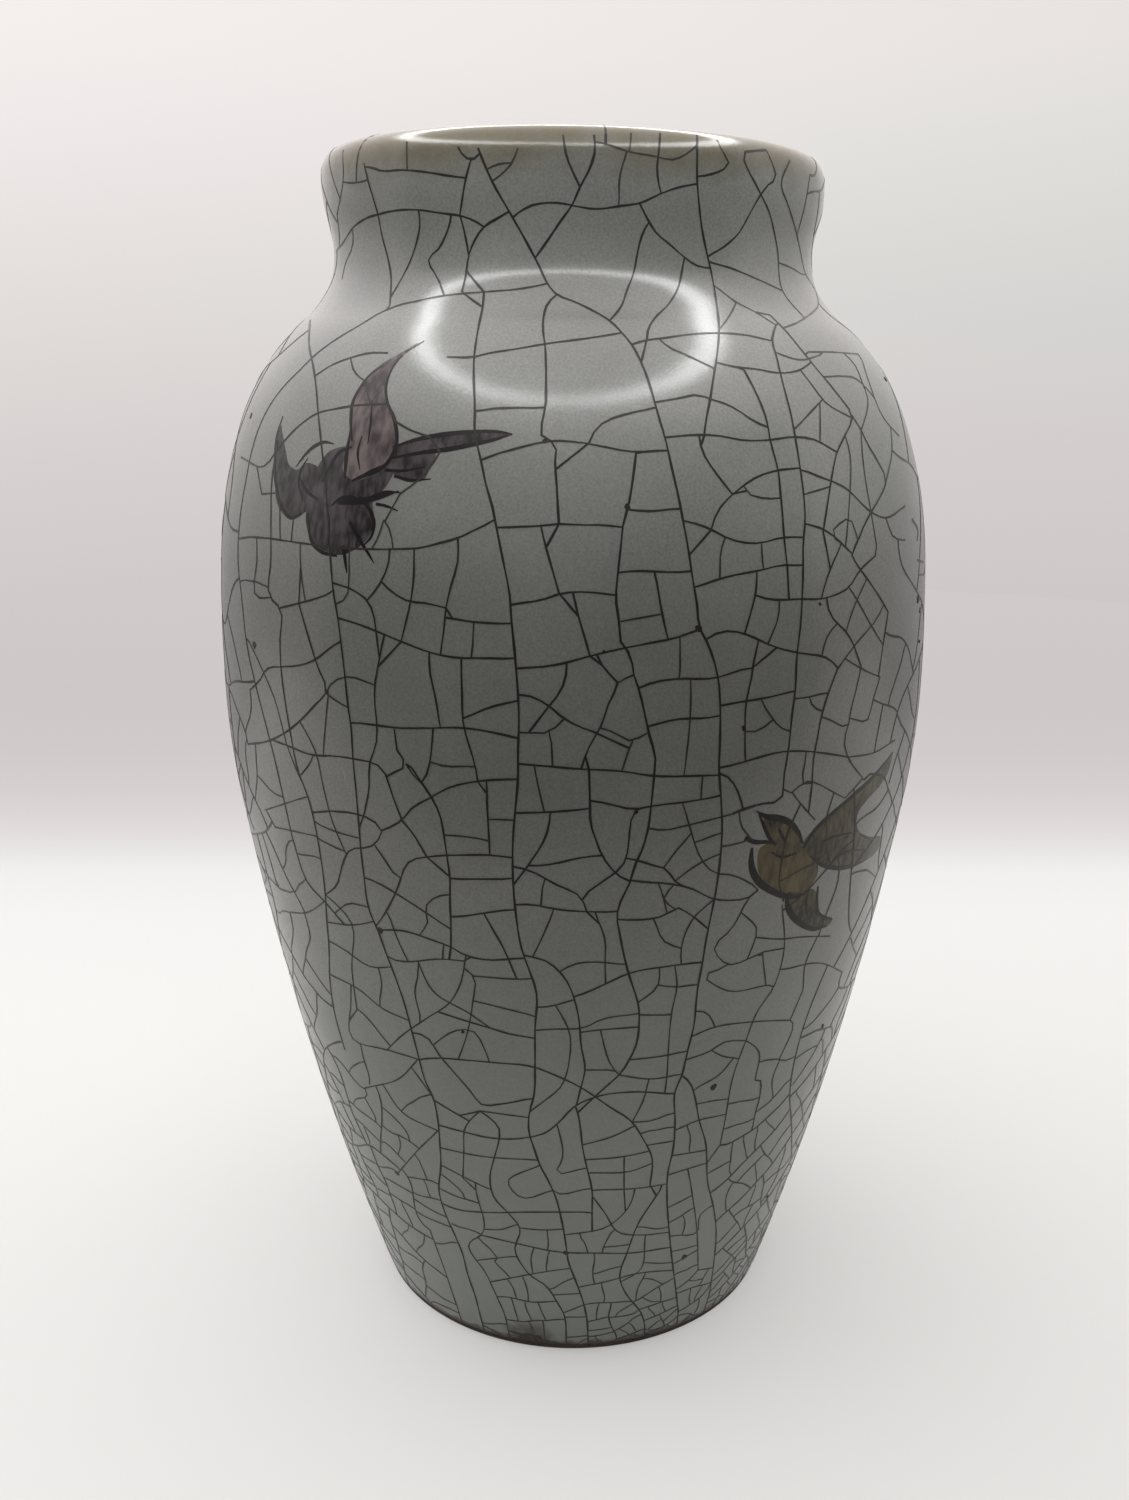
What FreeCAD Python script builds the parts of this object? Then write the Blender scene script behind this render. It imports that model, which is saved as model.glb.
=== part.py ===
import FreeCAD, Part
import math
import os

# Baluster vase of crackle-glazed stoneware: three thrown clay sections luted with slip,
# glazed outside, inside and in the recess of the turned foot.
# Millimetres, +Z up, origin at the centre of the foot's resting face.

# Outside form, measured on the glaze
height = 250.0
foot_radius = 46.2
belly_radius = 75.8
belly_height = 146.0
neck_radius = 49.4
neck_below_rim = 14.0
lip_radius = 50.6

# Clay
wall = 7.0
floor_thickness = 8.0
floor_cove = 14.0

# Foot ring
foot_face_width = 5.0
foot_bevel = 1.2
recess_depth = 5.0
recess_draft = 1.5
bare_foot_height = 2.2

# Glaze, and the iron wash on the bare band of the foot
glaze = 0.8
wash = 0.25

# Luted joints
waist_joint_below_belly = 28.0
neck_joint_below_rim = 27.0
slip = 0.8
groove_depth = 2.0
groove_width = 3.2

# Where the arcs of the outline meet: a share of the height and a share of the radius,
# on the flank from the belly to the foot, on the shoulder from the belly to the neck
flank_share = (0.178, 0.065)
shoulder_shares = ((0.289, 0.037), (0.584, 0.252), (0.809, 0.799))

# How much of the lip's width rounds over outwards, the rest rounds over inwards
lip_outward_share = 0.75

overrun = 10.0

clay_depth = glaze
inner_clay_depth = glaze + wall
inside_depth = inner_clay_depth + glaze
lip_rounding = lip_outward_share * inside_depth
crest_radius = lip_radius - lip_rounding
lip_spring_height = height - lip_rounding
inner_spring_height = height - (inside_depth - lip_rounding)
floor_height = recess_depth + floor_thickness
neck_height = height - neck_below_rim
neck_joint_height = height - neck_joint_below_rim
waist_joint_height = belly_height - waist_joint_below_belly

axis_foot = FreeCAD.Vector(0, 0, 0)
upward = FreeCAD.Vector(0, 0, 1)


def point(radius, level):
    return FreeCAD.Vector(radius, 0, level)


def between(start, end, shares):
    """A place between two others, by its share of the way in height and in radius."""
    upward_share, outward_share = shares
    radius = start.x + outward_share * (end.x - start.x)
    return point(radius, start.z + upward_share * (end.z - start.z))


def tangent_arcs(start, heading, places):
    """Arcs through the places, each leaving in the direction in which the last one arrived.

    An arc is its two ends, its centre and whether the wall bulges outwards there.
    """
    inward = point(-1, 0)
    arcs = []
    for end in places:
        chord = end - start
        square = point(heading.z, -heading.x)
        if square.dot(inward) < 0:
            square = -square
        reach = chord.dot(chord) / (2 * chord.dot(square))
        arcs.append((start, end, start + square * reach, reach > 0))
        heading = chord * (2 * heading.dot(chord) / chord.dot(chord)) - heading
        start = end
    return arcs


def across(arc, level):
    """Radius of an arc of the outline at a height."""
    start, end, centre, bulging = arc
    half_chord = math.sqrt((start - centre).Length ** 2 - (level - centre.z) ** 2)
    return centre.x + half_chord if bulging else centre.x - half_chord


def outline():
    """Arcs of the outer surface of the glaze, from below the foot to where the lip rounds over."""
    foot = point(foot_radius, 0)
    belly = point(belly_radius, belly_height)
    neck = point(neck_radius, neck_height)
    lip = point(lip_radius, lip_spring_height)
    flank = tangent_arcs(belly, -upward, [between(belly, foot, flank_share), foot])
    turns = [between(belly, neck, shares) for shares in shoulder_shares]
    shoulder = tangent_arcs(belly, upward, turns + [neck, lip])
    start, end, centre, bulging = flank[-1]
    below_foot = point(across(flank[-1], -overrun), -overrun)
    flank[-1] = (start, below_foot, centre, bulging)
    rising = [(end, start, centre, bulging) for start, end, centre, bulging in reversed(flank)]
    return rising + shoulder


def layer(depth):
    """The outline's arcs moved into the wall by a depth."""
    moved = []
    for start, end, centre, bulging in outer_arcs:
        inwards = depth if bulging else -depth
        ends = [place + (centre - place).normalize() * inwards for place in (start, end)]
        moved.append((*ends, centre, bulging))
    return moved


def radius_at(arcs, level):
    """Radius of a layer at a height."""
    arc = [arc for arc in arcs if arc[0].z <= level][-1]
    return across(arc, level)


def bow(start, end, centre):
    """Edge along the short arc between two places."""
    radius = (start - centre).Length
    middle = centre + (start + end - centre * 2).normalize() * radius
    return Part.Arc(start, middle, end).toShape()


def lines(*places):
    return [Part.LineSegment(start, end).toShape() for start, end in zip(places, places[1:])]


def turned(edges):
    """Solid turned about the axis from the closed outline that the edges make."""
    return Part.Face(Part.Wire(edges)).revolve(axis_foot, upward, 360)


def side_from(depth, level):
    """Arcs of a layer from a height up."""
    arcs = [arc for arc in layer(depth) if arc[1].z > level]
    start, end, centre, bulging = arcs[0]
    start = point(across(arcs[0], level), level)
    return [(start, end, centre, bulging)] + arcs[1:]


def outside_form(depth, level):
    """Everything inside a surface at a depth in the wall, from a height up to the crest."""
    arcs = side_from(depth, level)
    spring = arcs[-1][1]
    crest = point(crest_radius, height - depth)
    edges = [bow(start, end, centre) for start, end, centre, bulging in arcs]
    edges += [bow(spring, crest, point(crest_radius, lip_spring_height))]
    edges += lines(crest, point(0, crest.z), point(0, level), arcs[0][0])
    return turned(edges)


def hollow_form(depth, floor, cove):
    """Room inside a surface at a depth in the wall, from its floor to above the crest."""
    arcs = side_from(depth, floor)
    spring = point(arcs[-1][1].x, inner_spring_height)
    crest = point(crest_radius, inner_spring_height + crest_radius - spring.x)
    over = point(crest_radius, height + overrun)
    edges = [bow(start, end, centre) for start, end, centre, bulging in arcs]
    edges += lines(arcs[-1][1], spring)
    edges += [bow(spring, crest, point(crest_radius, inner_spring_height))]
    edges += lines(crest, over, point(0, over.z), point(0, floor), arcs[0][0])
    room = turned(edges)
    circles = [edge for edge in room.Edges if isinstance(edge.Curve, Part.Circle) and edge.isClosed()]
    floor_edge = min(circles, key=lambda circle: circle.Curve.Center.z)
    return room.makeFillet(cove, [floor_edge])


def recess_form(depth):
    """Room in the foot ring, drawn in by a depth of glaze."""
    mouth = recess_radius - depth
    ceiling = point(mouth - recess_draft, recess_depth - depth)
    edges = lines(
        point(0, -overrun),
        point(mouth, -overrun),
        point(mouth, 0),
        ceiling,
        point(0, ceiling.z),
        point(0, -overrun),
    )
    return turned(edges)


def bevel_form():
    """What the turning tool takes off the outer edge of the foot."""
    edges = lines(
        point(foot_clay_radius - foot_bevel, 0),
        point(foot_clay_radius - foot_bevel, -overrun),
        point(foot_clay_radius + overrun, -overrun),
        point(foot_clay_radius + overrun, foot_bevel + overrun),
        point(foot_clay_radius - foot_bevel, 0),
    )
    return turned(edges)


def below_joint(level, lift):
    """Everything under a luted joint: flat lands with a V groove round the middle of the wall."""
    middle = (radius_at(layer(clay_depth), level) + radius_at(layer(inner_clay_depth), level)) / 2
    face = level + lift
    reach = belly_radius + overrun
    edges = lines(
        point(0, -overrun),
        point(reach, -overrun),
        point(reach, face),
        point(middle + groove_width / 2, face),
        point(middle, face - groove_depth),
        point(middle - groove_width / 2, face),
        point(0, face),
        point(0, -overrun),
    )
    return turned(edges)


def under(level):
    """Everything lower than a level."""
    return Part.makeCylinder(belly_radius + overrun, level + overrun, point(0, -overrun), upward)


outer_arcs = outline()
foot_clay_radius = radius_at(layer(clay_depth), 0)
recess_radius = foot_clay_radius - foot_bevel - foot_face_width


def clay_room():
    """Room inside the clay, before it is glazed."""
    return hollow_form(inner_clay_depth, floor_height, floor_cove + glaze)


def clay_body():
    return outside_form(clay_depth, 0).cut(clay_room()).cut(recess_form(0)).cut(bevel_form())


def clay_sections(clay):
    """The three thrown sections and the two rings of slip between them, from the foot up."""
    sections = {}
    rest = clay
    joints = (
        ("lower_body", "waist_slip", waist_joint_height),
        ("upper_body", "neck_slip", neck_joint_height),
    )
    for section, ring, level in joints:
        sections[section] = rest.common(below_joint(level, 0))
        rest = rest.cut(below_joint(level, 0))
        sections[ring] = rest.common(below_joint(level, slip))
        rest = rest.cut(below_joint(level, slip))
    sections["neck"] = rest
    return sections


def outer_glaze():
    coat = outside_form(0, bare_foot_height).cut(outside_form(clay_depth, bare_foot_height))
    return coat.cut(clay_room())


def inner_glaze():
    left = hollow_form(inside_depth, floor_height + glaze, floor_cove)
    above = Part.makeCylinder(belly_radius, overrun * 2, point(0, height), upward)
    return clay_room().cut(left).cut(above)


def base_glaze():
    return recess_form(0).cut(recess_form(glaze)).cut(under(bare_foot_height))


def foot_wash():
    coat = outside_form(clay_depth - wash, foot_bevel).cut(outside_form(clay_depth, foot_bevel))
    return coat.common(under(bare_foot_height))


def pieces():
    made = clay_sections(clay_body())
    made["outer_glaze"] = outer_glaze()
    made["inner_glaze"] = inner_glaze()
    made["base_glaze"] = base_glaze()
    made["foot_wash"] = foot_wash()
    return made


os.makedirs("parts", exist_ok=True)
for name, shape in pieces().items():
    shape.exportStep("parts/" + name + ".step")
    print(name, len(shape.Solids), "solid", round(shape.Volume), "cubic mm")
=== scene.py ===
import math
import random

import bpy
import numpy as np
from bpy.props import FloatProperty, FloatVectorProperty, IntProperty, PointerProperty
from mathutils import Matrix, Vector, geometry


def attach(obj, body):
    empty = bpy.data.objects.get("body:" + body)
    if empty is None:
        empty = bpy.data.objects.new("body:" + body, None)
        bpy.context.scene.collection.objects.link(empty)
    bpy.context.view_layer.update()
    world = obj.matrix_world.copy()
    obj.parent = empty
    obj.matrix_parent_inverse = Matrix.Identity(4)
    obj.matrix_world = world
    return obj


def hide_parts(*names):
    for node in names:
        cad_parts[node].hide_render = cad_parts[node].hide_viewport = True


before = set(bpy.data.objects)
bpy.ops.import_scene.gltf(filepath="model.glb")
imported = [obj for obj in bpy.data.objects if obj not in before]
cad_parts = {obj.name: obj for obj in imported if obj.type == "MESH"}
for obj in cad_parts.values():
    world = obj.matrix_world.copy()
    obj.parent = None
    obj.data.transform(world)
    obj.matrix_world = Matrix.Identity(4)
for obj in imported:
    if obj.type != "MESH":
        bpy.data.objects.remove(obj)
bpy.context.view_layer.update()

bl_info = {
    "name": "Crackle Glaze Vase",
    "version": (1, 0, 0),
    "blender": (4, 5, 0),
    "location": "View3D > Sidebar > Vase",
    "description": "Glazes the turned vase, crackles it, paints its birds and sets its stage",
    "category": "Object",
}

MM = 0.001

# How far the paint stands out of the glaze, one patch over the last, and how deep it reaches into it
WASH_LIFT = 0.015 * MM
WING_LIFT = 0.03 * MM
INK_LIFT = 0.05 * MM
PATCH_LIFT = 0.003 * MM
PAINT_DEPTH = 0.05 * MM

# Added to a length or a radius that is divided by, in case it is nothing
TINY = 1e-12
TINY_RADIUS = 1e-9

# Places of a mesh that count as one, and the edges that are shaded smooth
MERGED = 0.002 * MM
SAME_PLACE = 0.05 * MM
SMOOTH_ANGLE = math.radians(35)

# The photograph's frame, and the pixel column where the axis of the vase stands
PICTURE_WIDTH = 1129
PICTURE_HEIGHT = 1500
AXIS_COLUMN = 573
SENSOR = 36.0


def linear(code):
    """A colour written as an sRGB hex value, turned linear."""
    parts = [int(code[start:start + 2], 16) / 255 for start in (1, 3, 5)]
    return [part / 12.92 if part <= 0.04045 else ((part + 0.055) / 1.055) ** 2.4 for part in parts]


def length(name, description, default):
    return FloatProperty(name=name, description=description, default=default, unit="LENGTH")


def colour(name, description, code):
    return FloatVectorProperty(name=name, description=description, default=linear(code), subtype="COLOR")


class GlazeSizes(bpy.types.PropertyGroup):
    thickness: length("Thickness", "Depth of the coat", 0.8 * MM)
    ring_spacing: length("Ring Spacing", "From one ring of the mesh to the next", 1.7 * MM)
    lip_spacing: length("Lip Spacing", "The same where the lip rounds over", 0.55 * MM)
    segments: IntProperty(name="Segments", description="Faces round the vase", default=288)
    lean: FloatProperty(name="Lean", description="How far the rim tips", default=0.0172, subtype="ANGLE")
    lean_from: length("Lean From", "Height at which the lean sets in", 198 * MM)
    wobble: length("Wobble", "How far the thrown wall strays from round", 0.1 * MM)
    lip_rounding: length("Lip Rounding", "Radius over which the lip rounds outwards", 6.45 * MM)
    lip_squareness: FloatProperty(name="Lip Squareness", description="2 is round, 3 is squarer", default=2.8)
    crease_height: length("Crease Height", "Where the neck was pressed on", 225.8 * MM)
    crease_width: length("Crease Width", "How far the crease spreads up and down", 3.0 * MM)
    crease_depth: length("Crease Depth", "How deep it is", 0.2 * MM)
    body: colour("Body", "Grey celadon", "#757773")
    pale: colour("Pale", "Where the coat is milky", "#7f817d")
    # Paler colour that the glaze turns towards the foot
    ochre: colour("Ochre", "Iron that bleeds through at the lip", "#584e2e")
    pool: colour("Pool", "Where the coat runs thick above the foot", "#7f857f")
    # Also the dark band along the glaze's lower edge: partly clay through the thin coat, partly painted
    # contact shadow
    bare: colour("Bare", "Clay that shows through where the coat is thin at the foot", "#332822")


class CrackleSizes(bpy.types.PropertyGroup):
    widest: length("Widest Crack", "The long early cracks", 0.40 * MM)
    finest: length("Finest Crack", "The last short cracks", 0.24 * MM)
    proud: length("Proud", "How far the stain stands out of the coat", 0.06 * MM)
    depth: length("Depth", "How far the stain reaches into the coat", 0.15 * MM)
    seed: IntProperty(name="Seed", description="Another seed cracks the back another way", default=7)
    stain: colour("Stain", "Ink rubbed into the cracks", "#2c2c2a")
    faint: colour("Faint Stain", "In the last cracks", "#484844")


class StageSizes(bpy.types.PropertyGroup):
    camera_distance: length("Camera Distance", "From the axis of the vase", 302.25 * MM)
    camera_height: length("Camera Height", "Above the floor", 213.55 * MM)
    camera_pitch: FloatProperty(name="Pitch", description="Downward tilt", default=0.28474, subtype="ANGLE")
    focal_length: FloatProperty(name="Focal Length", description="In mm, on a 36 mm sensor", default=33.12)
    radius: length("Stage Radius", "From the axis to the wall", 1.0)
    wall_height: length("Wall Height", "Of the round wall", 1.1)
    ring_radius: length("Ring Lamp Radius", "Of the lamp that the shoulder mirrors", 76 * MM)
    ring_height: length("Ring Lamp Height", "Above the floor", 300 * MM)
    ring_tube: length("Ring Lamp Tube", "Half its thickness", 2.8 * MM)
    ring_light: FloatProperty(name="Ring Light", description="Strength of the ring lamp", default=13.0)
    room_light: FloatProperty(name="Room Light", description="Strength of the room all round", default=0.34)
    overhead: FloatProperty(name="Overhead", description="Brightness overhead in reflections", default=2.6)
    floor_gloom: FloatProperty(name="Floor Gloom", description="Light that the floor in front gives back",
                               default=0.22)
    wall_gloom: FloatProperty(name="Wall Gloom", description="The same for the wall", default=0.32)
    gloom_from: length("Gloom From", "Where the stage is dimmest, at the camera", -0.30)
    gloom_to: length("Gloom To", "Where the stage is fully lit", -0.13)
    mirrored_low: FloatProperty(name="Mirrored Low", description="Brightness of the floor in reflections",
                                default=0.6)
    mirrored_high: FloatProperty(name="Mirrored High", description="The same at the top of the wall",
                                 default=2.5)


def add(tree, kind, inputs=None, output=None, stops=(), **settings):
    """Adds a shader node with its settings, fills or links its inputs, and gives one of its outputs."""
    node = tree.nodes.new("ShaderNode" + kind)
    for name, value in settings.items():
        setattr(node, name, value)
    for place, (position, shade) in enumerate(stops):
        elements = node.color_ramp.elements
        element = elements[place] if place < 2 else elements.new(position)
        element.position = position
        element.color = (*linear(shade), 1)
    for name, value in (inputs or {}).items():
        found = (socket for socket in node.inputs if socket.name == name and socket.enabled)
        socket = node.inputs[name] if isinstance(name, int) else next(found)
        if isinstance(value, bpy.types.NodeSocket):
            tree.links.new(value, socket)
        elif socket.type == "RGBA":
            socket.default_value = (*value, 1)
        else:
            socket.default_value = value
    outputs = [socket for socket in node.outputs if socket.enabled and output in (None, socket.name)]
    return outputs[0] if outputs else None


def noise(tree, at, size, detail):
    """Noise with lumps of a size."""
    return add(tree, "TexNoise", {"Vector": at, "Scale": 1 / size, "Detail": detail})


def new_material(name):
    """An empty material and its node tree."""
    material = bpy.data.materials.new(name)
    material.use_nodes = True
    material.node_tree.nodes.clear()
    return material, material.node_tree


def new_object(name, data):
    """A new object in the scene."""
    made = bpy.data.objects.new(name, data)
    bpy.context.scene.collection.objects.link(made)
    return made


def places_of(mesh):
    """The places of a mesh, one a row."""
    places = np.empty(len(mesh.vertices) * 3)
    mesh.vertices.foreach_get("co", places)
    return places.reshape(-1, 3)


# How far a face's normal points outwards on a side wall and upwards on the floor, and the digits of a level
SIDEWAYS = 0.02
UPWARDS = 0.7
LEVEL_DIGITS = 5


def turned_points(node, facing):
    """The meridian of one side of a turned node, as radii and heights, from the frame's mesh.

    The outer side, facing 1, is sorted from the foot up, the inner side, facing -1, from the crest down.
    """
    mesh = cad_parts[node].data
    mesh.calc_loop_triangles()
    places = places_of(mesh)
    corners = np.empty(len(mesh.loop_triangles) * 3, int)
    mesh.loop_triangles.foreach_get("vertices", corners)
    corners = corners.reshape(-1, 3)
    first, second, third = (places[corners[:, corner]] for corner in range(3))
    normals = np.cross(second - first, third - first)
    normals /= np.linalg.norm(normals, axis=1)[:, None] + TINY
    middles = (first + second + third) / 3
    outward = (normals * middles)[:, :2].sum(1) / np.hypot(middles[:, 0], middles[:, 1])
    wanted = outward > SIDEWAYS if facing > 0 else (outward < -SIDEWAYS) | (normals[:, 2] > UPWARDS)
    seen = places[np.unique(corners[wanted])]
    points = np.stack([np.hypot(seen[:, 0], seen[:, 1]), seen[:, 2]], axis=1)
    order = np.lexsort((points[:, 0] * facing, np.round(points[:, 1] * facing, LEVEL_DIGITS)))
    kept = []
    for place in points[order]:
        if not kept or np.hypot(*(place - kept[-1])) > SAME_PLACE:
            kept.append(place)
    return np.array(kept)


def smooth_line(points, spacing):
    """Points a spacing apart on a smooth line through the given ones."""
    points = np.asarray(points, float)
    reach = np.r_[0, np.cumsum(np.linalg.norm(np.diff(points, axis=0), axis=1))]
    slopes = np.gradient(points, reach, axis=0)
    wanted = np.linspace(0, reach[-1], max(2, int(round(reach[-1] / spacing)) + 1))
    piece = np.clip(np.searchsorted(reach, wanted) - 1, 0, len(points) - 2)
    span = (reach[piece + 1] - reach[piece])[:, None]
    along = (wanted - reach[piece])[:, None] / span
    start, end = points[piece], points[piece + 1]
    leaving, arriving = slopes[piece] * span, slopes[piece + 1] * span
    blend = along * along * (3 - 2 * along)
    bends = along * (1 - along) * ((1 - along) * leaving - along * arriving)
    return start + blend * (end - start) + bends


# The meridians of the two coats, and how far down the throat the crackle goes
OUTSIDE = turned_points("outer_glaze", 1)
INSIDE = turned_points("inner_glaze", -1)
CREST = OUTSIDE[-1]
THROAT_DEPTH = 52 * MM
THROAT = CREST[1] - THROAT_DEPTH
WALL_STEP = 0.4 * MM


def squared_lip(places):
    """Places on the quarter round of the lip moved out towards its corner, as a lip is pressed flat."""
    sizes = bpy.context.scene.vase_glaze
    radius = np.hypot(places[:, 0], places[:, 1]) + TINY_RADIUS
    out = np.maximum(radius - CREST[0], 0)
    above = np.maximum(places[:, 2] - CREST[1] + sizes.lip_rounding, 0)
    reach = np.hypot(out, above) + TINY_RADIUS
    swell = (out / reach) ** sizes.lip_squareness + (above / reach) ** sizes.lip_squareness
    swell = np.where((out > 0) & (above > 0), swell, 1) ** (-1 / sizes.lip_squareness) - 1
    places[:, :2] *= (1 + out * swell / radius)[:, None]
    places[:, 2] += above * swell
    return places


# How the thrown wall strays from round: an oval and a three-sided part, each shifted and twisted upwards
OVAL_SHIFT = 1.1
OVAL_TWIST = 3.1
THREE_SHARE = 0.6
THREE_SHIFT = 0.7
THREE_TWIST = 4


def as_thrown(places):
    """Places on the true form moved as the potter left them: the rim leans, the neck's root is creased."""
    sizes = bpy.context.scene.vase_glaze
    places = squared_lip(np.array(places, float))
    rise = np.clip((places[:, 2] - sizes.lean_from) / (CREST[1] - sizes.lean_from), 0, 1)
    rise = rise * rise * (3 - 2 * rise)
    turn = np.arctan2(places[:, 0], -places[:, 1])
    level = places[:, 2] / CREST[1]
    oval = np.sin(2 * turn + OVAL_SHIFT) * np.sin(OVAL_TWIST * level)
    three_sided = THREE_SHARE * np.sin(3 * turn - THREE_SHIFT + THREE_TWIST * level)
    radius = np.hypot(places[:, 0], places[:, 1]) + TINY_RADIUS
    crease = np.exp(-((places[:, 2] - sizes.crease_height) / sizes.crease_width) ** 2) * sizes.crease_depth
    wobble = sizes.wobble * (oval + three_sided) * np.sin(math.pi * np.clip(level, 0, 1))
    grown = 1 + (wobble - crease) / radius
    places[:, 2] -= math.tan(sizes.lean) * places[:, 0] * rise
    places[:, :2] *= grown[:, None]
    return places


class Wall:
    """The glaze's face unrolled from the foot, over the lip and down the throat, with all angles kept.

    A place on it is a turn, the angle from the middle of the painted side, and a climb in local radii.
    """

    def __init__(self):
        inner = INSIDE[1:][INSIDE[1:, 1] > THROAT]
        line = np.concatenate([smooth_line(OUTSIDE, WALL_STEP), smooth_line(inner, WALL_STEP)])
        steps = np.diff(line, axis=0)
        self.radius, self.height = line.T
        reach = np.hypot(*steps.T)
        middle = (self.radius[1:] + self.radius[:-1]) / 2
        self.climb = np.r_[0, np.cumsum(reach / middle)]
        slope = np.gradient(line, np.r_[0, np.cumsum(reach)], axis=0)
        slope /= np.linalg.norm(slope, axis=1)[:, None]
        self.out, self.up = slope[:, 1], -slope[:, 0]
        self.crest = self.climb[self.height.argmax()]

    def radius_at(self, climb):
        return np.interp(climb, self.climb, self.radius)

    def height_at(self, climb):
        return np.interp(climb, self.climb, self.height)

    def climb_at(self, height):
        """Way up the outer side to a height."""
        outer = self.climb <= self.crest
        return np.interp(height, self.height[outer], self.climb[outer])

    def places(self, turn, climb, lift=0.0):
        """Points in the frame, lifted off the glaze."""
        radius = self.radius_at(climb) + np.interp(climb, self.climb, self.out) * lift
        height = self.height_at(climb) + np.interp(climb, self.climb, self.up) * lift
        return as_thrown(np.stack([radius * np.sin(turn), -radius * np.cos(turn), height], axis=-1))


WALL = Wall()


# Rays from the camera to the glaze: where they start and end, their step, and how often the aim is corrected
NEAREST = 180 * MM
FARTHEST = 460 * MM
RAY_STEP = 0.4 * MM
AIM_ROUNDS = 3


def camera_axes():
    """The camera's place and its forward and upward directions."""
    stage = bpy.context.scene.vase_stage
    pitch = stage.camera_pitch
    place = np.array([0, -stage.camera_distance, stage.camera_height])
    forward = np.array([0, math.cos(pitch), -math.sin(pitch)])
    return place, forward, np.array([0, math.sin(pitch), math.cos(pitch)])


def focal_pixels():
    """The focal length in pixels of the photograph."""
    return bpy.context.scene.vase_stage.focal_length / SENSOR * PICTURE_HEIGHT


def pixels_of(places):
    """Where the camera sees points of the frame, in pixels of the photograph."""
    place, forward, upward = camera_axes()
    focal = focal_pixels()
    away = places - place
    deep = away @ forward
    columns = AXIS_COLUMN + focal * away[:, 0] / deep
    rows = PICTURE_HEIGHT / 2 - focal * away @ upward / deep
    return np.stack([columns, rows], axis=1)


def on_wall(pixels):
    """Turn and climb of the glaze under pixels of the photograph, and the size of a pixel there."""
    place, forward, upward = camera_axes()
    focal = focal_pixels()
    wanted = np.asarray(pixels, float)
    aim = wanted.copy()
    outer = WALL.climb <= WALL.crest
    depth = np.arange(NEAREST, FARTHEST, RAY_STEP)
    for _ in range(AIM_ROUNDS):
        across = (aim[:, 0] - AXIS_COLUMN) / focal
        above = (PICTURE_HEIGHT / 2 - aim[:, 1]) / focal
        rays = forward + across[:, None] * [1, 0, 0] + above[:, None] * upward
        seen = place + depth[:, None, None] * rays
        height = np.clip(seen[..., 2], OUTSIDE[0, 1], CREST[1])
        wall = np.interp(height, WALL.height[outer], WALL.radius[outer])
        gap = np.hypot(seen[..., 0], seen[..., 1]) - wall
        inside = gap < 0
        hit = np.where(inside.any(0), inside.argmax(0), np.abs(gap).argmin(0))
        columns = np.arange(len(aim))
        before, after = gap[hit - 1, columns], gap[hit, columns]
        share = np.where(before > after, before / np.maximum(before - after, TINY_RADIUS), 1).clip(0, 1)
        found = place + (depth[hit - 1] + share * (depth[1] - depth[0]))[:, None] * rays
        turn = np.arctan2(found[:, 0], -found[:, 1])
        climb = WALL.climb_at(found[:, 2])
        aim += wanted - pixels_of(WALL.places(turn, climb))
    return np.stack([turn, climb], axis=1), np.linalg.norm(found - place, axis=1) / focal


def turned_sheet(name, line, segments, closed=False):
    """A sheet turned about the axis: a ring extruded and resized from point to point of a line."""
    bpy.ops.object.select_all(action="DESELECT")
    bpy.ops.mesh.primitive_circle_add(vertices=segments, radius=line[0][0], location=(0, 0, line[0][1]))
    sheet = bpy.context.object
    sheet.name = sheet.data.name = name
    bpy.ops.object.transform_apply(location=True, rotation=True, scale=True)
    bpy.ops.object.mode_set(mode="EDIT")
    bpy.ops.mesh.select_mode(type="VERT")
    bpy.ops.mesh.select_all(action="SELECT")
    for (radius, height), (wider, higher) in zip(line, line[1:]):
        bpy.ops.mesh.extrude_region_move(TRANSFORM_OT_translate={"value": (0, 0, higher - height)})
        growth = wider / radius
        bpy.ops.transform.resize(value=(growth, growth, 1), center_override=(0, 0, higher))
    if closed:
        bpy.ops.mesh.extrude_region_move()
        bpy.ops.mesh.merge(type="CENTER")
    bpy.ops.mesh.select_all(action="SELECT")
    bpy.ops.mesh.remove_doubles(threshold=MERGED)
    bpy.ops.mesh.normals_make_consistent(inside=False)
    bpy.ops.object.mode_set(mode="OBJECT")
    return sheet


def finish_piece(piece, material, replaced=()):
    """Shades a piece, gives it its material and its place in the frame."""
    bpy.ops.object.select_all(action="DESELECT")
    bpy.context.view_layer.objects.active = piece
    piece.select_set(True)
    bpy.ops.object.shade_smooth_by_angle(angle=SMOOTH_ANGLE)
    piece.data.materials.clear()
    piece.data.materials.append(material)
    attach(piece, "root")
    if replaced:
        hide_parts(*replaced)
    return piece


def make_coat(name, line, facing, closed, node):
    """A closed coat of glaze on one side of the clay."""
    sizes = bpy.context.scene.vase_glaze
    coat = turned_sheet(name, line, sizes.segments, closed)
    belly = max(coat.data.polygons, key=lambda face: math.hypot(*face.center[:2]))
    if (belly.normal.x * belly.center.x + belly.normal.y * belly.center.y) * facing < 0:
        coat.data.flip_normals()
    coat.data.vertices.foreach_set("co", as_thrown(places_of(coat.data)).ravel())
    solid = coat.modifiers.new("Coat", "SOLIDIFY")
    solid.thickness = sizes.thickness
    solid.offset = -1
    bpy.context.view_layer.objects.active = coat
    bpy.ops.object.modifier_apply(modifier=solid.name)
    return finish_piece(coat, celadon(), (node,))


# How far below the crest the rings come closer, and rings on the inside floor as shares of its width
LIP_DEPTH = 9 * MM
FLOOR_RINGS = (0.75, 0.5, 0.25, 0.08)


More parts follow.
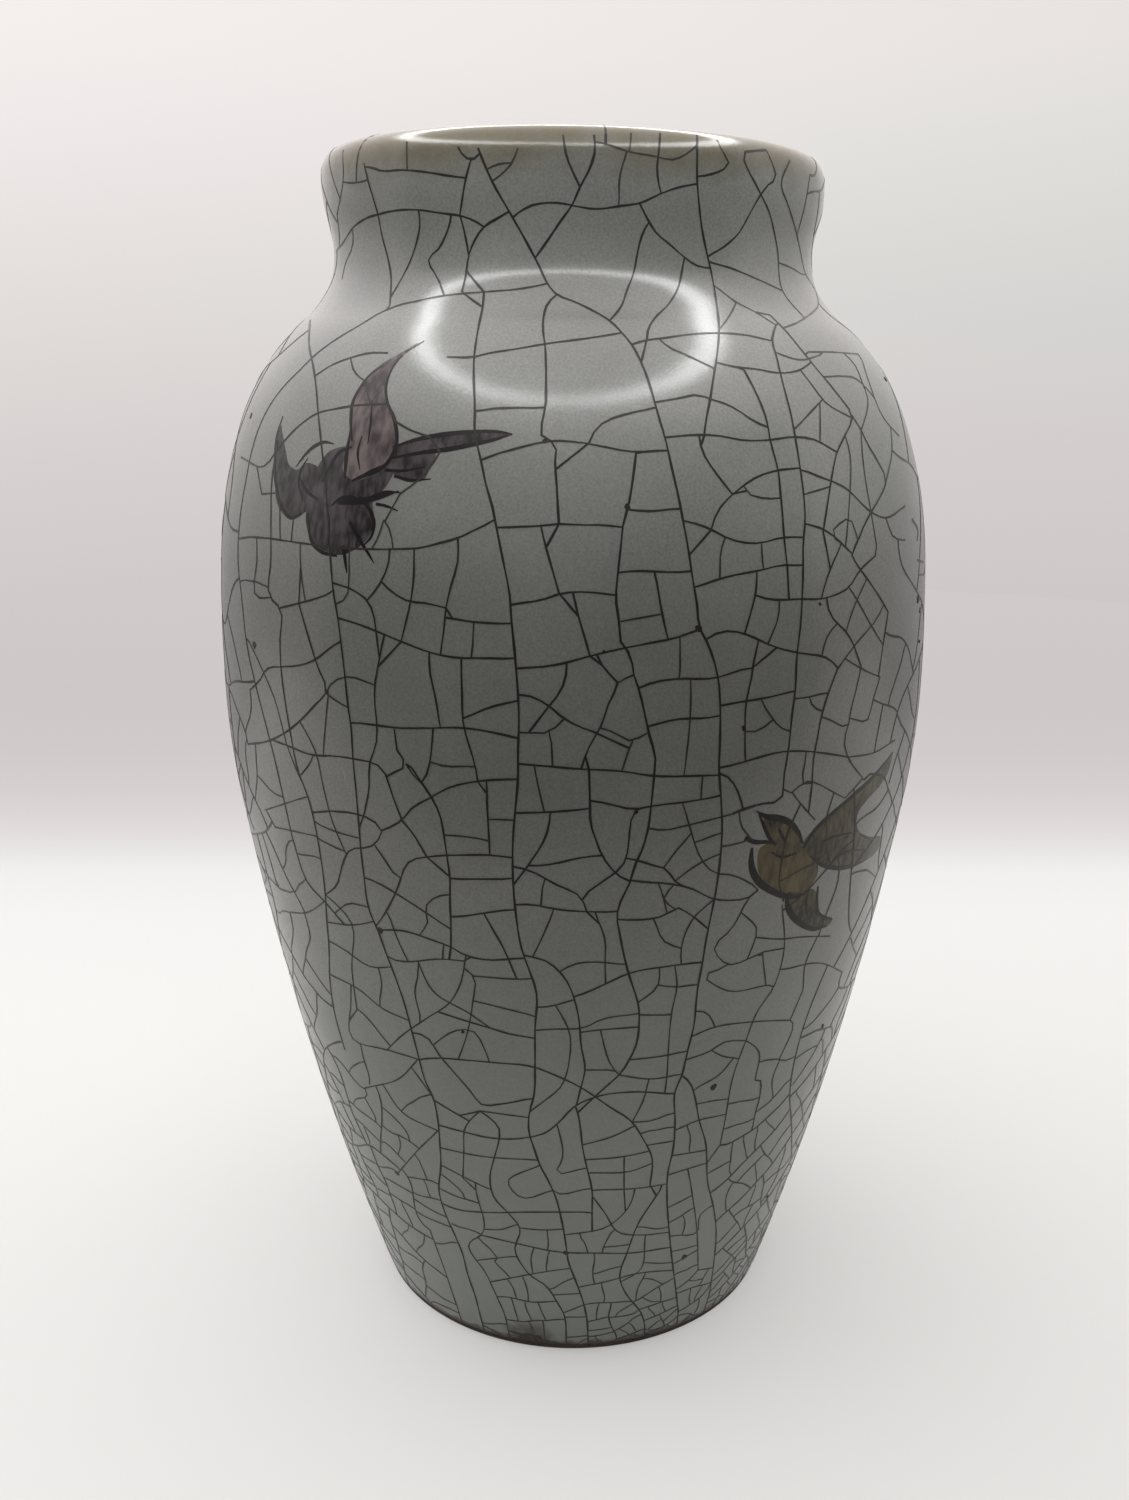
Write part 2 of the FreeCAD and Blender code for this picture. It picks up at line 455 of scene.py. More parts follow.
def sheet_line(points, sizes):
    """Rings of a coat: closer together where the lip rounds over."""
    lip = CREST[1] - LIP_DEPTH
    walls = smooth_line(points, sizes.ring_spacing)
    lips = smooth_line(points, sizes.lip_spacing)
    rings = np.concatenate([walls[walls[:, 1] < lip - sizes.ring_spacing / 2], lips[lips[:, 1] >= lip]])
    return rings[np.argsort(rings[:, 1], kind="stable")]


class VASE_OT_outer_glaze(bpy.types.Operator):
    """Coat of crackle glaze on the outside and over the lip"""
    bl_idname = "vase.outer_glaze"
    bl_label = "Outer Glaze"

    def execute(self, context):
        line = sheet_line(OUTSIDE, context.scene.vase_glaze)
        make_coat("outer_glaze_coat", line, 1, False, "outer_glaze")
        return {"FINISHED"}


class VASE_OT_inner_glaze(bpy.types.Operator):
    """Coat of crackle glaze inside, down to the floor"""
    bl_idname = "vase.inner_glaze"
    bl_label = "Inner Glaze"

    def execute(self, context):
        sizes = context.scene.vase_glaze
        line = sheet_line(INSIDE[::-1], sizes)[::-1]
        middle = [(line[-1][0] * share, line[-1][1]) for share in FLOOR_RINGS]
        make_coat("inner_glaze_coat", np.concatenate([line, middle]), -1, True, "inner_glaze")
        return {"FINISHED"}


class VASE_OT_neck_clay(bpy.types.Operator):
    """Thrown neck of bare clay under the glaze, with the lean of the rim"""
    bl_idname = "vase.neck_clay"
    bl_label = "Neck Clay"

    def execute(self, context):
        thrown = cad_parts["neck"]
        neck = new_object("neck_clay", thrown.data.copy())
        bpy.ops.object.select_all(action="DESELECT")
        context.view_layer.objects.active = neck
        neck.select_set(True)
        bpy.ops.object.mode_set(mode="EDIT")
        bpy.ops.mesh.select_all(action="SELECT")
        bpy.ops.mesh.customdata_custom_splitnormals_clear()
        bpy.ops.mesh.remove_doubles(threshold=MERGED)
        bpy.ops.object.mode_set(mode="OBJECT")
        neck.data.vertices.foreach_set("co", as_thrown(places_of(neck.data)).ravel())
        finish_piece(neck, stoneware(), ("neck",))
        return {"FINISHED"}


# Sizes in the glaze: milky clouds, grit, ragged and nibbled edges, and the peel and pits of its gloss
CLOUDS = 38 * MM
GRIT = 0.42 * MM
RAGS = 7 * MM
RAG_DEPTH = 9 * MM
NIBBLES = 3 * MM
PEEL = 5 * MM
PEEL_DEPTH = 0.12 * MM
PIT_DEPTH = 0.02 * MM

# Heights between which the ochre of the lip sets in, the paler colour towards the foot ends, and the dark
# band along the glaze's lower edge ends, partly bare clay and partly painted contact shadow
OCHRE_FROM = CREST[1] - 5 * MM
OCHRE_FULL = CREST[1] + 3 * MM
PALER_FULL = 7 * MM
PALER_END = 125 * MM
BARE_AND_SHADOW_FULL = 4.2 * MM
BARE_AND_SHADOW_END = 5.2 * MM

# Marks at the foot, one paler and one where the glaze drew back: pixel, reach, fade, how much it shows, and
# its colour
FOOT_RUNS = [
    ((548, 1306), 9 * MM, 8 * MM, 0.85, "pool"),
    ((530, 1345), 8 * MM, 5 * MM, 0.8, "bare"),
]


def celadon():
    """Celadon glaze, dipped and fired: a milky grey-green glass over the clay, glossy, with a fine peel.

    Iron bleeds through where the coat thins over the lip, and the coat turns paler towards the foot.
    The grit is finer on a real glaze, and is drawn as coarse as it needs to be to show.
    """
    found = bpy.data.materials.get("fired celadon crackle glaze")
    if found:
        return found
    sizes = bpy.context.scene.vase_glaze
    material, tree = new_material("fired celadon crackle glaze")
    at = add(tree, "TexCoord", output="Object")
    height = add(tree, "SeparateXYZ", {"Vector": at}, "Z")
    clouds = noise(tree, at, CLOUDS, 3.0)
    milky = add(tree, "MapRange", {"Value": clouds, "From Min": 0.38, "From Max": 0.66})
    body = add(tree, "Mix", {0: milky, "A": sizes.body, "B": sizes.pale}, data_type="RGBA")
    grit = noise(tree, at, GRIT, 3.0)
    grains = add(tree, "MapRange", {"Value": grit, "From Min": 0.3, "From Max": 0.7,
                                    "To Min": 0.86, "To Max": 1.14})
    body = add(tree, "VectorMath", {0: body, "Scale": grains}, operation="SCALE")
    fraying = noise(tree, at, RAGS, 3.0)
    frayed = add(tree, "Math", {0: fraying, 1: RAG_DEPTH}, operation="MULTIPLY")
    ragged = add(tree, "Math", {0: height, 1: frayed}, operation="ADD")
    rim = add(tree, "MapRange", {"Value": ragged, "From Min": OCHRE_FROM, "From Max": OCHRE_FULL,
                                 "To Max": 0.9})
    body = add(tree, "Mix", {0: rim, "A": body, "B": sizes.ochre}, data_type="RGBA")
    # Paler towards the foot, from half the height down
    low = add(tree, "MapRange", {"Value": ragged, "From Min": PALER_FULL, "From Max": PALER_END,
                                 "To Min": 1.0, "To Max": 0.0})
    body = add(tree, "Mix", {0: low, "A": body, "B": sizes.pool}, data_type="RGBA")
    for pixel, reach, fade, share, shade in FOOT_RUNS:
        middle = WALL.places(*on_wall([pixel])[0].T)[0]
        away = add(tree, "VectorMath", {0: at, 1: middle}, "Value", operation="DISTANCE")
        spread = add(tree, "Math", {0: away, 1: frayed}, operation="ADD")
        near = add(tree, "MapRange", {"Value": spread, "From Min": reach, "From Max": reach + fade,
                                      "To Min": share, "To Max": 0.0},
                   interpolation_type="SMOOTHSTEP")
        run = getattr(sizes, shade)
        body = add(tree, "Mix", {0: near, "A": body, "B": run}, data_type="RGBA")
    # Dark band along the glaze's lower edge: partly clay through the thin coat, partly painted contact shadow
    nibbling = noise(tree, at, NIBBLES, 2.0)
    nibbled = add(tree, "Math", {0: nibbling, 1: NIBBLES, 2: height}, operation="MULTIPLY_ADD")
    edge = add(tree, "MapRange", {"Value": nibbled, "From Min": BARE_AND_SHADOW_FULL, "From Max": BARE_AND_SHADOW_END,
                                  "To Min": 0.95, "To Max": 0.0})
    body = add(tree, "Mix", {0: edge, "A": body, "B": sizes.bare}, data_type="RGBA")
    peel = noise(tree, at, PEEL, 1.0)
    peeled = add(tree, "Bump", {"Height": peel, "Strength": 0.25, "Distance": PEEL_DEPTH}, "Normal")
    pitted = add(tree, "Bump", {"Height": grit, "Strength": 0.8, "Distance": PIT_DEPTH,
                                "Normal": peeled}, "Normal")
    gloss = add(tree, "MapRange", {"Value": grit, "To Min": 0.14, "To Max": 0.22})
    shader = add(tree, "BsdfPrincipled", {"Base Color": body, "Roughness": gloss, "IOR": 1.5,
                                          "Normal": pitted})
    add(tree, "OutputMaterial", {"Surface": shader})
    return material


def crack_stain():
    """Crackle rubbed with ink: dark under the same gloss as the glaze, paler in the last fine cracks."""
    sizes = bpy.context.scene.vase_crackle
    material, tree = new_material("ink-stained crackle")
    fresh = add(tree, "Attribute", output="Fac", attribute_name="faintness")
    shade = add(tree, "Mix", {0: fresh, "A": sizes.stain, "B": sizes.faint}, data_type="RGBA")
    shader = add(tree, "BsdfPrincipled", {"Base Color": shade, "Roughness": 0.25, "IOR": 1.28})
    add(tree, "OutputMaterial", {"Surface": shader})
    return material


# Width of a clay's paler patches in grits, and how far its grit stands out
CLAY_PATCH = 14
CLAY_RELIEF = 0.1 * MM


def earthy(name, dark, light, grit, roughness):
    """Unglazed fired clay: two close browns in a speckle of grit, dry and matte, with a sandy face."""
    found = bpy.data.materials.get(name)
    if found:
        return found
    material, tree = new_material(name)
    at = add(tree, "TexCoord", output="Object")
    specks = noise(tree, at, grit, 5.0)
    patches = noise(tree, at, grit * CLAY_PATCH, 3.0)
    both = add(tree, "Math", {0: specks, 1: patches}, operation="ADD")
    share = add(tree, "MapRange", {"Value": both, "From Min": 0.75, "From Max": 1.25})
    shade = add(tree, "Mix", {0: share, "A": linear(dark), "B": linear(light)}, data_type="RGBA")
    sandy = add(tree, "Bump", {"Height": specks, "Strength": 0.6, "Distance": CLAY_RELIEF}, "Normal")
    shader = add(tree, "BsdfPrincipled", {"Base Color": shade, "Roughness": roughness,
                                          "Normal": sandy})
    add(tree, "OutputMaterial", {"Surface": shader})
    return material


def stoneware():
    """Stoneware clay, thrown and fired: grey-brown, gritty, matte."""
    return earthy("fired stoneware clay", dark="#5c4a3d", light="#7a6655", grit=0.8 * MM, roughness=0.85)


def joining_slip():
    """Slip that lutes the sections: the same clay sieved fine, a shade lighter."""
    return earthy("fired joining slip", dark="#6b5848", light="#836f5d", grit=0.4 * MM, roughness=0.8)


def iron_wash():
    """Iron wash brushed on the bare foot: dark brown, thin, with the clay's grit through it."""
    return earthy("brushed iron wash", dark="#2a211c", light="#45372d", grit=0.8 * MM, roughness=0.7)


class VASE_OT_fired_clay(bpy.types.Operator):
    """Finishes of the turned solids that stay as they are"""
    bl_idname = "vase.fired_clay"
    bl_label = "Fired Clay"

    def execute(self, context):
        finishes = {
            "lower_body": stoneware,
            "upper_body": stoneware,
            "waist_slip": joining_slip,
            "neck_slip": joining_slip,
            "base_glaze": celadon,
        }
        for node, finish in finishes.items():
            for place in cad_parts[node].material_slots:
                place.material = finish()
        return {"FINISHED"}


# The washed foot from the glaze down, over the foot's bevel and back up its clay: radius and height in mm
FOOT_BAND = [(45.4, 2.2), (46.5, 2.2), (46.5, 1.6), (46.4, 0.8), (46.1, 0.5), (44.75, 0.5), (45.4, 1.2),
             (45.4, 2.2)]


class VASE_OT_foot_band(bpy.types.Operator):
    """Band of iron wash under the edge of the glaze, where the brush left it thick"""
    bl_idname = "vase.foot_band"
    bl_label = "Foot Band"

    def execute(self, context):
        line = [(radius * MM, height * MM) for radius, height in FOOT_BAND]
        band = turned_sheet("washed_foot_band", line, context.scene.vase_glaze.segments)
        finish_piece(band, iron_wash(), ("foot_wash",))
        return {"FINISHED"}


def wall_ribbons(name, strokes, material, lift, depth):
    """One piece of closed ribbons that follow the glaze, each a stroke of places, widths and faintnesses."""
    places, faces, faintness = [], [], []
    for line, widths, faint in strokes:
        steps = np.gradient(line, axis=0)
        steps /= np.linalg.norm(steps, axis=1)[:, None] + TINY
        side = np.stack([-steps[:, 1], steps[:, 0]], axis=1)
        side *= (widths / 2 / WALL.radius_at(line[:, 1]))[:, None]
        left, right = line + side, line - side
        rows = [WALL.places(*left.T, lift), WALL.places(*right.T, lift), WALL.places(*line.T, -depth)]
        start, count = len(places), len(line)
        places.extend(np.stack(rows, axis=1).reshape(-1, 3))
        faintness.extend(np.repeat(faint, 3))
        for step in range(start, start + 3 * (count - 1), 3):
            for edge, other in ((0, 1), (1, 2), (2, 0)):
                faces.append((step + edge, step + other, step + 3 + other, step + 3 + edge))
        faces.append((start, start + 2, start + 1))
        last = start + 3 * (count - 1)
        faces.append((last, last + 1, last + 2))
    mesh = bpy.data.meshes.new(name)
    mesh.from_pydata(places, [], faces)
    values = mesh.attributes.new("faintness", "FLOAT", "POINT").data
    values.foreach_set("value", np.array(faintness, np.float32))
    piece = new_object(name, mesh)
    if piece.data.polygons[0].normal.dot(Vector((places[0][0], places[0][1], 0))) < 0:
        mesh.flip_normals()
    return finish_piece(piece, material)


# Cracks of the painted side in the photograph's pixels: the long ones, the rungs between, the faint ones
LONG_CRACKS = [
    [(478, 148), (484, 163), (492, 181), (509, 211), (527, 243), (541, 270), (547, 283), (556, 294),
     (575, 302), (597, 313), (610, 321), (622, 333), (632, 345), (640, 360), (648, 380), (654, 400),
     (659, 418), (665, 438), (671, 465), (678, 495), (683, 521), (688, 548), (692, 575), (697, 605),
     (700, 629), (706, 640), (713, 658), (718, 678), (720, 702), (720, 740), (719, 768), (721, 800),
     (722, 830), (720, 860), (716, 890), (710, 920), (706, 940), (702, 965), (698, 985), (696, 1003),
     (694, 1025), (689, 1045), (685, 1062), (682, 1075), (675, 1091), (675, 1120), (673, 1150), (668, 1171),
     (667, 1200), (669, 1230), (672, 1260), (675, 1284), (678, 1310)],
    [(594, 135), (595, 150), (590, 168), (580, 187), (572, 205), (560, 222), (548, 240), (536, 257)],
    [(557, 295), (548, 303), (544, 315), (543, 330), (545, 345), (546, 370), (546, 400), (546, 440),
     (553, 441), (555, 465), (557, 490), (558, 510), (559, 524)],
    [(509, 211), (500, 217), (484, 227), (475, 240), (469, 255), (466, 275), (462, 292)],
    [(484, 292), (483, 305), (478, 330), (474, 360), (474, 385), (475, 410), (475, 435), (478, 448),
     (482, 465), (486, 485), (492, 505), (496, 525), (501, 550), (505, 570), (510, 597), (511, 615),
     (514, 645), (516, 668), (518, 695), (519, 720), (518, 750), (518, 779), (515, 813), (513, 840),
     (513, 879), (516, 915), (522, 950), (530, 972), (536, 990), (535, 1030), (535, 1065), (534, 1095),
     (529, 1115), (529, 1132), (534, 1148), (540, 1165), (548, 1180), (556, 1198), (562, 1222), (566, 1245),
     (568, 1260), (575, 1279), (582, 1298), (587, 1320), (588, 1338)],
    [(364, 163), (368, 180), (373, 197), (378, 214), (382, 235), (388, 258), (391, 275), (390, 305)],
    [(310, 320), (309, 345), (313, 365), (316, 385), (318, 410), (321, 440), (327, 500), (330, 550),
     (334, 595), (338, 618), (341, 642), (345, 676), (348, 705), (351, 725), (353, 757), (357, 800),
     (360, 838), (361, 850), (364, 875), (367, 900), (371, 915), (378, 930), (385, 950), (392, 968),
     (400, 990), (405, 1005), (409, 1020), (413, 1035), (419, 1058), (425, 1080), (434, 1100), (438, 1120),
     (440, 1145), (441, 1165), (439, 1190), (446, 1215), (455, 1235), (463, 1255), (468, 1275), (475, 1295),
     (481, 1318)],
    [(636, 453), (634, 470), (628, 507), (623, 525), (621, 545), (618, 572), (616, 600), (619, 621),
     (624, 648), (629, 652), (633, 672), (639, 690), (646, 720), (650, 738), (655, 755), (654, 776),
     (651, 806), (648, 829), (642, 850), (635, 865), (629, 885), (621, 900), (617, 915), (620, 935),
     (625, 960), (629, 975), (634, 990), (638, 1003), (639, 1025), (636, 1045), (629, 1060), (619, 1075),
     (610, 1083), (592, 1099)],
    [(776, 325), (772, 340), (776, 355), (780, 372), (785, 392), (791, 415), (795, 437), (800, 468),
     (803, 490), (805, 520), (803, 545), (803, 570), (802, 600), (800, 630), (797, 653), (795, 692),
     (792, 715), (788, 752), (784, 775), (780, 800), (760, 804), (743, 809)],
    [(744, 370), (752, 385), (760, 402), (767, 422), (770, 440), (774, 455), (778, 470), (780, 490),
     (782, 510), (784, 538), (787, 565)],
    [(770, 315), (785, 330), (803, 352), (820, 373), (838, 395), (852, 418), (845, 435), (837, 452),
     (832, 475), (828, 500), (823, 532)],
    [(697, 135), (697, 155), (697, 180), (699, 205), (702, 230), (706, 250), (711, 272), (716, 300),
     (719, 330), (717, 355), (713, 380), (710, 400), (706, 420), (704, 436)],
    [(418, 301), (400, 305), (380, 313), (360, 325), (335, 340), (315, 355), (300, 370), (285, 385),
     (272, 402), (260, 425), (252, 450), (246, 480), (241, 510), (238, 560), (242, 600), (247, 645),
     (257, 690), (266, 725), (275, 760), (284, 800), (296, 850), (308, 883), (326, 903)],
    [(278, 440), (272, 480), (271, 520), (271, 560), (271, 598), (280, 608), (280, 640), (281, 667),
     (285, 700), (290, 730), (298, 770), (309, 800), (318, 840), (322, 865), (325, 890), (327, 922),
     (329, 945), (330, 980), (334, 1010), (345, 1050)],
    [(299, 604), (305, 625), (311, 645), (317, 665), (326, 693), (315, 705), (300, 721), (283, 734),
     (265, 742), (248, 744)],
    [(412, 768), (422, 783), (432, 798), (440, 815), (444, 835), (447, 856), (450, 878), (450, 900),
     (451, 925), (451, 947)],
    [(589, 770), (590, 800), (591, 825), (596, 840), (602, 855), (610, 867), (618, 875), (627, 881)],
    [(861, 430), (868, 445), (878, 462), (886, 480), (880, 497), (871, 512), (862, 530), (856, 545),
     (851, 553), (858, 566), (868, 580), (880, 598), (888, 612)],
    [(838, 668), (832, 683), (826, 700), (821, 718), (817, 740), (814, 755), (812, 783)],
]
RUNG_CRACKS = [
    [(563, 135), (567, 158), (572, 170), (580, 187)],
    [(518, 213), (530, 206), (545, 203), (560, 203), (575, 206), (595, 209), (620, 206), (640, 203),
     (660, 194), (680, 187), (697, 184)],
    [(471, 160), (466, 178), (463, 195), (460, 215)],
    [(458, 147), (463, 155), (471, 160), (479, 154)],
    [(366, 165), (382, 171), (400, 170), (425, 172), (450, 176), (466, 178)],
    [(378, 214), (400, 210), (420, 210), (440, 213), (465, 217), (475, 221), (484, 227)],
    [(419, 211), (420, 225), (416, 245), (410, 262), (402, 278), (391, 297)],
    [(452, 217), (446, 235), (438, 250), (428, 260), (433, 270), (440, 283)],
    [(378, 214), (365, 219), (352, 229), (345, 240), (336, 252)],
    [(547, 284), (520, 289), (485, 292), (450, 295), (420, 300)],
    [(640, 204), (648, 220), (658, 235), (668, 243), (684, 257), (697, 266), (710, 268)],
    [(648, 222), (641, 238), (637, 255), (633, 275), (627, 290), (622, 305), (611, 320)],
    [(684, 257), (682, 270), (678, 288), (668, 305), (655, 318), (648, 330), (647, 338)],
    [(660, 133), (659, 150), (657, 165), (658, 180), (661, 194)],
    [(697, 177), (712, 174), (722, 170), (729, 163), (723, 153), (717, 140)],
    [(745, 152), (744, 160), (748, 170), (756, 185), (761, 195), (769, 212), (774, 232), (778, 255),
     (779, 275), (782, 290), (790, 302), (802, 315)],
    [(706, 257), (722, 248), (737, 235), (750, 213), (761, 194), (770, 183), (775, 179), (772, 163),
     (766, 150)],
    [(708, 262), (730, 268), (752, 277), (770, 285), (782, 291)],
    [(790, 160), (781, 184), (788, 205), (795, 228), (800, 250), (806, 275), (815, 290), (818, 305),
     (805, 318), (785, 328)],
    [(447, 357), (474, 357), (490, 353), (510, 350), (545, 344), (590, 338), (622, 333)],
    [(632, 344), (648, 340), (665, 338), (685, 335), (717, 333), (745, 335), (772, 341)],
    [(475, 412), (490, 409), (510, 408), (546, 408)],
    [(656, 408), (640, 411), (620, 416), (603, 423), (594, 432), (589, 443)],
    [(500, 453), (515, 449), (530, 445), (553, 441), (575, 442), (605, 447), (625, 451), (640, 452),
     (667, 450)],
    [(628, 509), (640, 511), (655, 511), (680, 508)],
    [(497, 528), (515, 527), (540, 526), (559, 524), (580, 525), (600, 525), (621, 527)],
    [(541, 527), (544, 540), (551, 565), (559, 593)],
    [(250, 537), (265, 538), (300, 543), (345, 548), (400, 549), (420, 548), (440, 543), (458, 538),
     (475, 530), (496, 520)],
    [(388, 353), (370, 353), (350, 358), (330, 366), (314, 377)],
    [(388, 404), (352, 406), (335, 409), (318, 413), (300, 425), (280, 446), (262, 467), (241, 457)],
    [(396, 422), (410, 430), (430, 437)],
    [(655, 402), (670, 400), (685, 397), (697, 395), (710, 399), (728, 405), (742, 413), (755, 422),
     (768, 427)],
    [(663, 438), (680, 436), (697, 435), (720, 436), (740, 440), (770, 440), (795, 437), (815, 440),
     (836, 452)],
    [(718, 363), (735, 367), (755, 369), (780, 373), (800, 370), (812, 362)],
    [(699, 441), (704, 455), (715, 472), (725, 485), (732, 494)],
    [(801, 468), (775, 471), (755, 478), (743, 486), (732, 495), (722, 505), (715, 517), (711, 530)],
    [(801, 469), (815, 475), (848, 490), (860, 502), (871, 512), (885, 518), (905, 506)],
    [(683, 521), (697, 524), (712, 530), (725, 537), (740, 542), (760, 543), (780, 538), (803, 537)],
    [(805, 524), (820, 528), (832, 535), (851, 553)],
    [(271, 598), (258, 597), (257, 560), (257, 538)],
    [(280, 608), (300, 603), (318, 598), (335, 591)],
    [(341, 641), (330, 648), (318, 658), (305, 664), (280, 667), (268, 668), (260, 680), (250, 690)],
    [(349, 588), (358, 593), (367, 600), (373, 612), (376, 630)],
    [(367, 600), (376, 590), (383, 578), (389, 562), (389, 551)],
    [(382, 583), (395, 594), (408, 601), (425, 603), (446, 608)],
    [(414, 549), (414, 575), (411, 600), (406, 622), (401, 642)],
    [(338, 618), (355, 623), (376, 631), (400, 641), (440, 655), (460, 658), (480, 658), (516, 659)],
    [(458, 538), (458, 560), (450, 590), (446, 608), (444, 630), (440, 655)],
    [(446, 617), (460, 620), (475, 622), (512, 624)],
    [(384, 635), (379, 662), (375, 685), (375, 705), (377, 725), (376, 745), (370, 762), (369, 790),
     (364, 815)],
    [(350, 722), (375, 725), (400, 728), (430, 728), (465, 728), (480, 730), (518, 738)],
    [(429, 652), (430, 672), (435, 695), (438, 712), (440, 728)],
    [(461, 658), (462, 690), (464, 727), (469, 745), (475, 765), (478, 782)],
    [(464, 719), (480, 711), (498, 705), (518, 701)],
    [(286, 745), (313, 755), (335, 756), (355, 759), (370, 762), (378, 765), (386, 775), (390, 788),
     (395, 802), (402, 820)],
    [(386, 776), (406, 764), (398, 752), (395, 728)],
    [(406, 764), (422, 783), (428, 770), (432, 745), (433, 728)],
    [(512, 604), (530, 602), (545, 599), (559, 594), (575, 592), (616, 595)],
    [(573, 592), (578, 615), (584, 635), (590, 656)],
    [(517, 668), (540, 667), (565, 663), (590, 656), (620, 649), (650, 643), (675, 638), (700, 629)],
    [(619, 572), (640, 571), (665, 572), (691, 572)],
    [(655, 572), (658, 590), (662, 613), (668, 640)],
    [(695, 588), (710, 582), (740, 574), (757, 571), (785, 565), (803, 566)],
    [(567, 663), (565, 680), (558, 695), (549, 706)],
    [(519, 694), (533, 697), (549, 706), (562, 717), (578, 726), (594, 732)],
    [(519, 764), (545, 766), (580, 769), (620, 771), (655, 776), (690, 776), (718, 775)],
    [(597, 657), (607, 672), (618, 683), (610, 700), (600, 728), (590, 745), (581, 768)],
    [(640, 687), (655, 682), (675, 679), (715, 678), (745, 669), (752, 668)],
    [(648, 727), (660, 723), (680, 719), (705, 718), (720, 716)],
    [(705, 639), (715, 634), (730, 631), (745, 634), (770, 645), (785, 650), (800, 653), (830, 660),
     (838, 668)],
    [(719, 706), (740, 702), (765, 698), (794, 691)],
    [(720, 768), (740, 763), (760, 757), (780, 752), (800, 751), (830, 754), (848, 757)],
    [(757, 572), (756, 590), (750, 615), (744, 635)],
    [(759, 641), (755, 655), (751, 680), (746, 702), (745, 730), (745, 760)],
    [(756, 596), (768, 599), (803, 599), (820, 599), (835, 595), (848, 588), (860, 570), (875, 556)],
    [(842, 543), (835, 558), (828, 575), (821, 598)],
    [(827, 600), (829, 612), (837, 623), (847, 633), (854, 646)],
    [(331, 811), (357, 814), (370, 819), (382, 831), (378, 840), (372, 846), (350, 850), (341, 870),
     (337, 885), (326, 895)],
    [(382, 831), (402, 820), (412, 808), (430, 798), (448, 788), (480, 781), (518, 779)],
    [(402, 821), (412, 832), (420, 845), (427, 857)],
    [(376, 846), (385, 860), (401, 878), (404, 868), (412, 860), (427, 857), (465, 855), (490, 855),
     (513, 858)],
    [(401, 878), (396, 892), (388, 908), (377, 926)],
    [(365, 877), (378, 883), (408, 901), (425, 912), (450, 929)],
    [(487, 782), (487, 800), (488, 820), (490, 855)],
    [(450, 879), (480, 879), (513, 879)],
    [(450, 917), (465, 916), (484, 913), (514, 909)],
    [(484, 913), (492, 928), (502, 945), (508, 958)],
    [(380, 930), (398, 930), (435, 941), (451, 947), (465, 955), (480, 959), (524, 958)],
    [(515, 813), (550, 812), (588, 809)],
    [(550, 813), (549, 825), (545, 838), (527, 867)],
    [(527, 866), (545, 865), (585, 857), (602, 855)],
    [(513, 867), (525, 869), (555, 884), (582, 899), (587, 912)],
    [(516, 904), (535, 905), (555, 909), (575, 911), (617, 912)],
    [(582, 899), (590, 890), (602, 882), (624, 863), (629, 840), (631, 820), (636, 810)],
    [(590, 800), (605, 803), (636, 809), (652, 806), (685, 802), (721, 796)],
    [(628, 858), (640, 861), (655, 866), (664, 868), (675, 881)],
    [(627, 880), (645, 882), (672, 884), (690, 888), (714, 899), (735, 900), (748, 898), (758, 890)],
    [(721, 772), (731, 780), (738, 792), (743, 808)],
    [(617, 920), (655, 918), (668, 914), (675, 908), (694, 917)],
    [(524, 955), (548, 962), (560, 972), (568, 983), (574, 998), (579, 1020), (581, 1045), (585, 1070),
     (581, 1087)],
    [(574, 997), (590, 991), (605, 984), (630, 973), (670, 966), (700, 962)],
    [(413, 1032), (425, 1036), (440, 1056), (452, 1070), (475, 1097), (480, 1104), (500, 1104), (532, 1098)],
    [(470, 1022), (490, 1028), (510, 1034), (534, 1038)],
    [(418, 1059), (440, 1058), (465, 1060), (500, 1063), (534, 1067), (550, 1073), (580, 1087), (610, 1107),
     (632, 1122), (642, 1137), (652, 1158), (650, 1185)],
    [(682, 1075), (690, 1083), (695, 1098), (699, 1120), (705, 1140), (708, 1185), (713, 1205), (716, 1230),
     (714, 1260), (710, 1290)],
    [(434, 1100), (450, 1110), (466, 1119)],
    [(465, 1132), (485, 1137), (530, 1137), (545, 1133), (558, 1123), (575, 1106), (592, 1098), (630, 1092),
     (675, 1094)],
    [(577, 1107), (580, 1125), (583, 1150), (587, 1168), (592, 1190), (592, 1212)],
    [(480, 1111), (490, 1118), (499, 1128), (499, 1140), (495, 1155), (490, 1180), (493, 1195), (510, 1215),
     (520, 1228), (515, 1250), (522, 1265), (530, 1275), (545, 1285), (562, 1310)],
    [(440, 1203), (460, 1210), (480, 1212), (530, 1212), (585, 1212)],
    [(481, 1235), (515, 1243), (560, 1252), (600, 1253), (630, 1253), (671, 1247)],
    [(660, 1190), (650, 1205), (640, 1220), (628, 1250), (620, 1280), (625, 1292), (642, 1315), (646, 1335)],
]
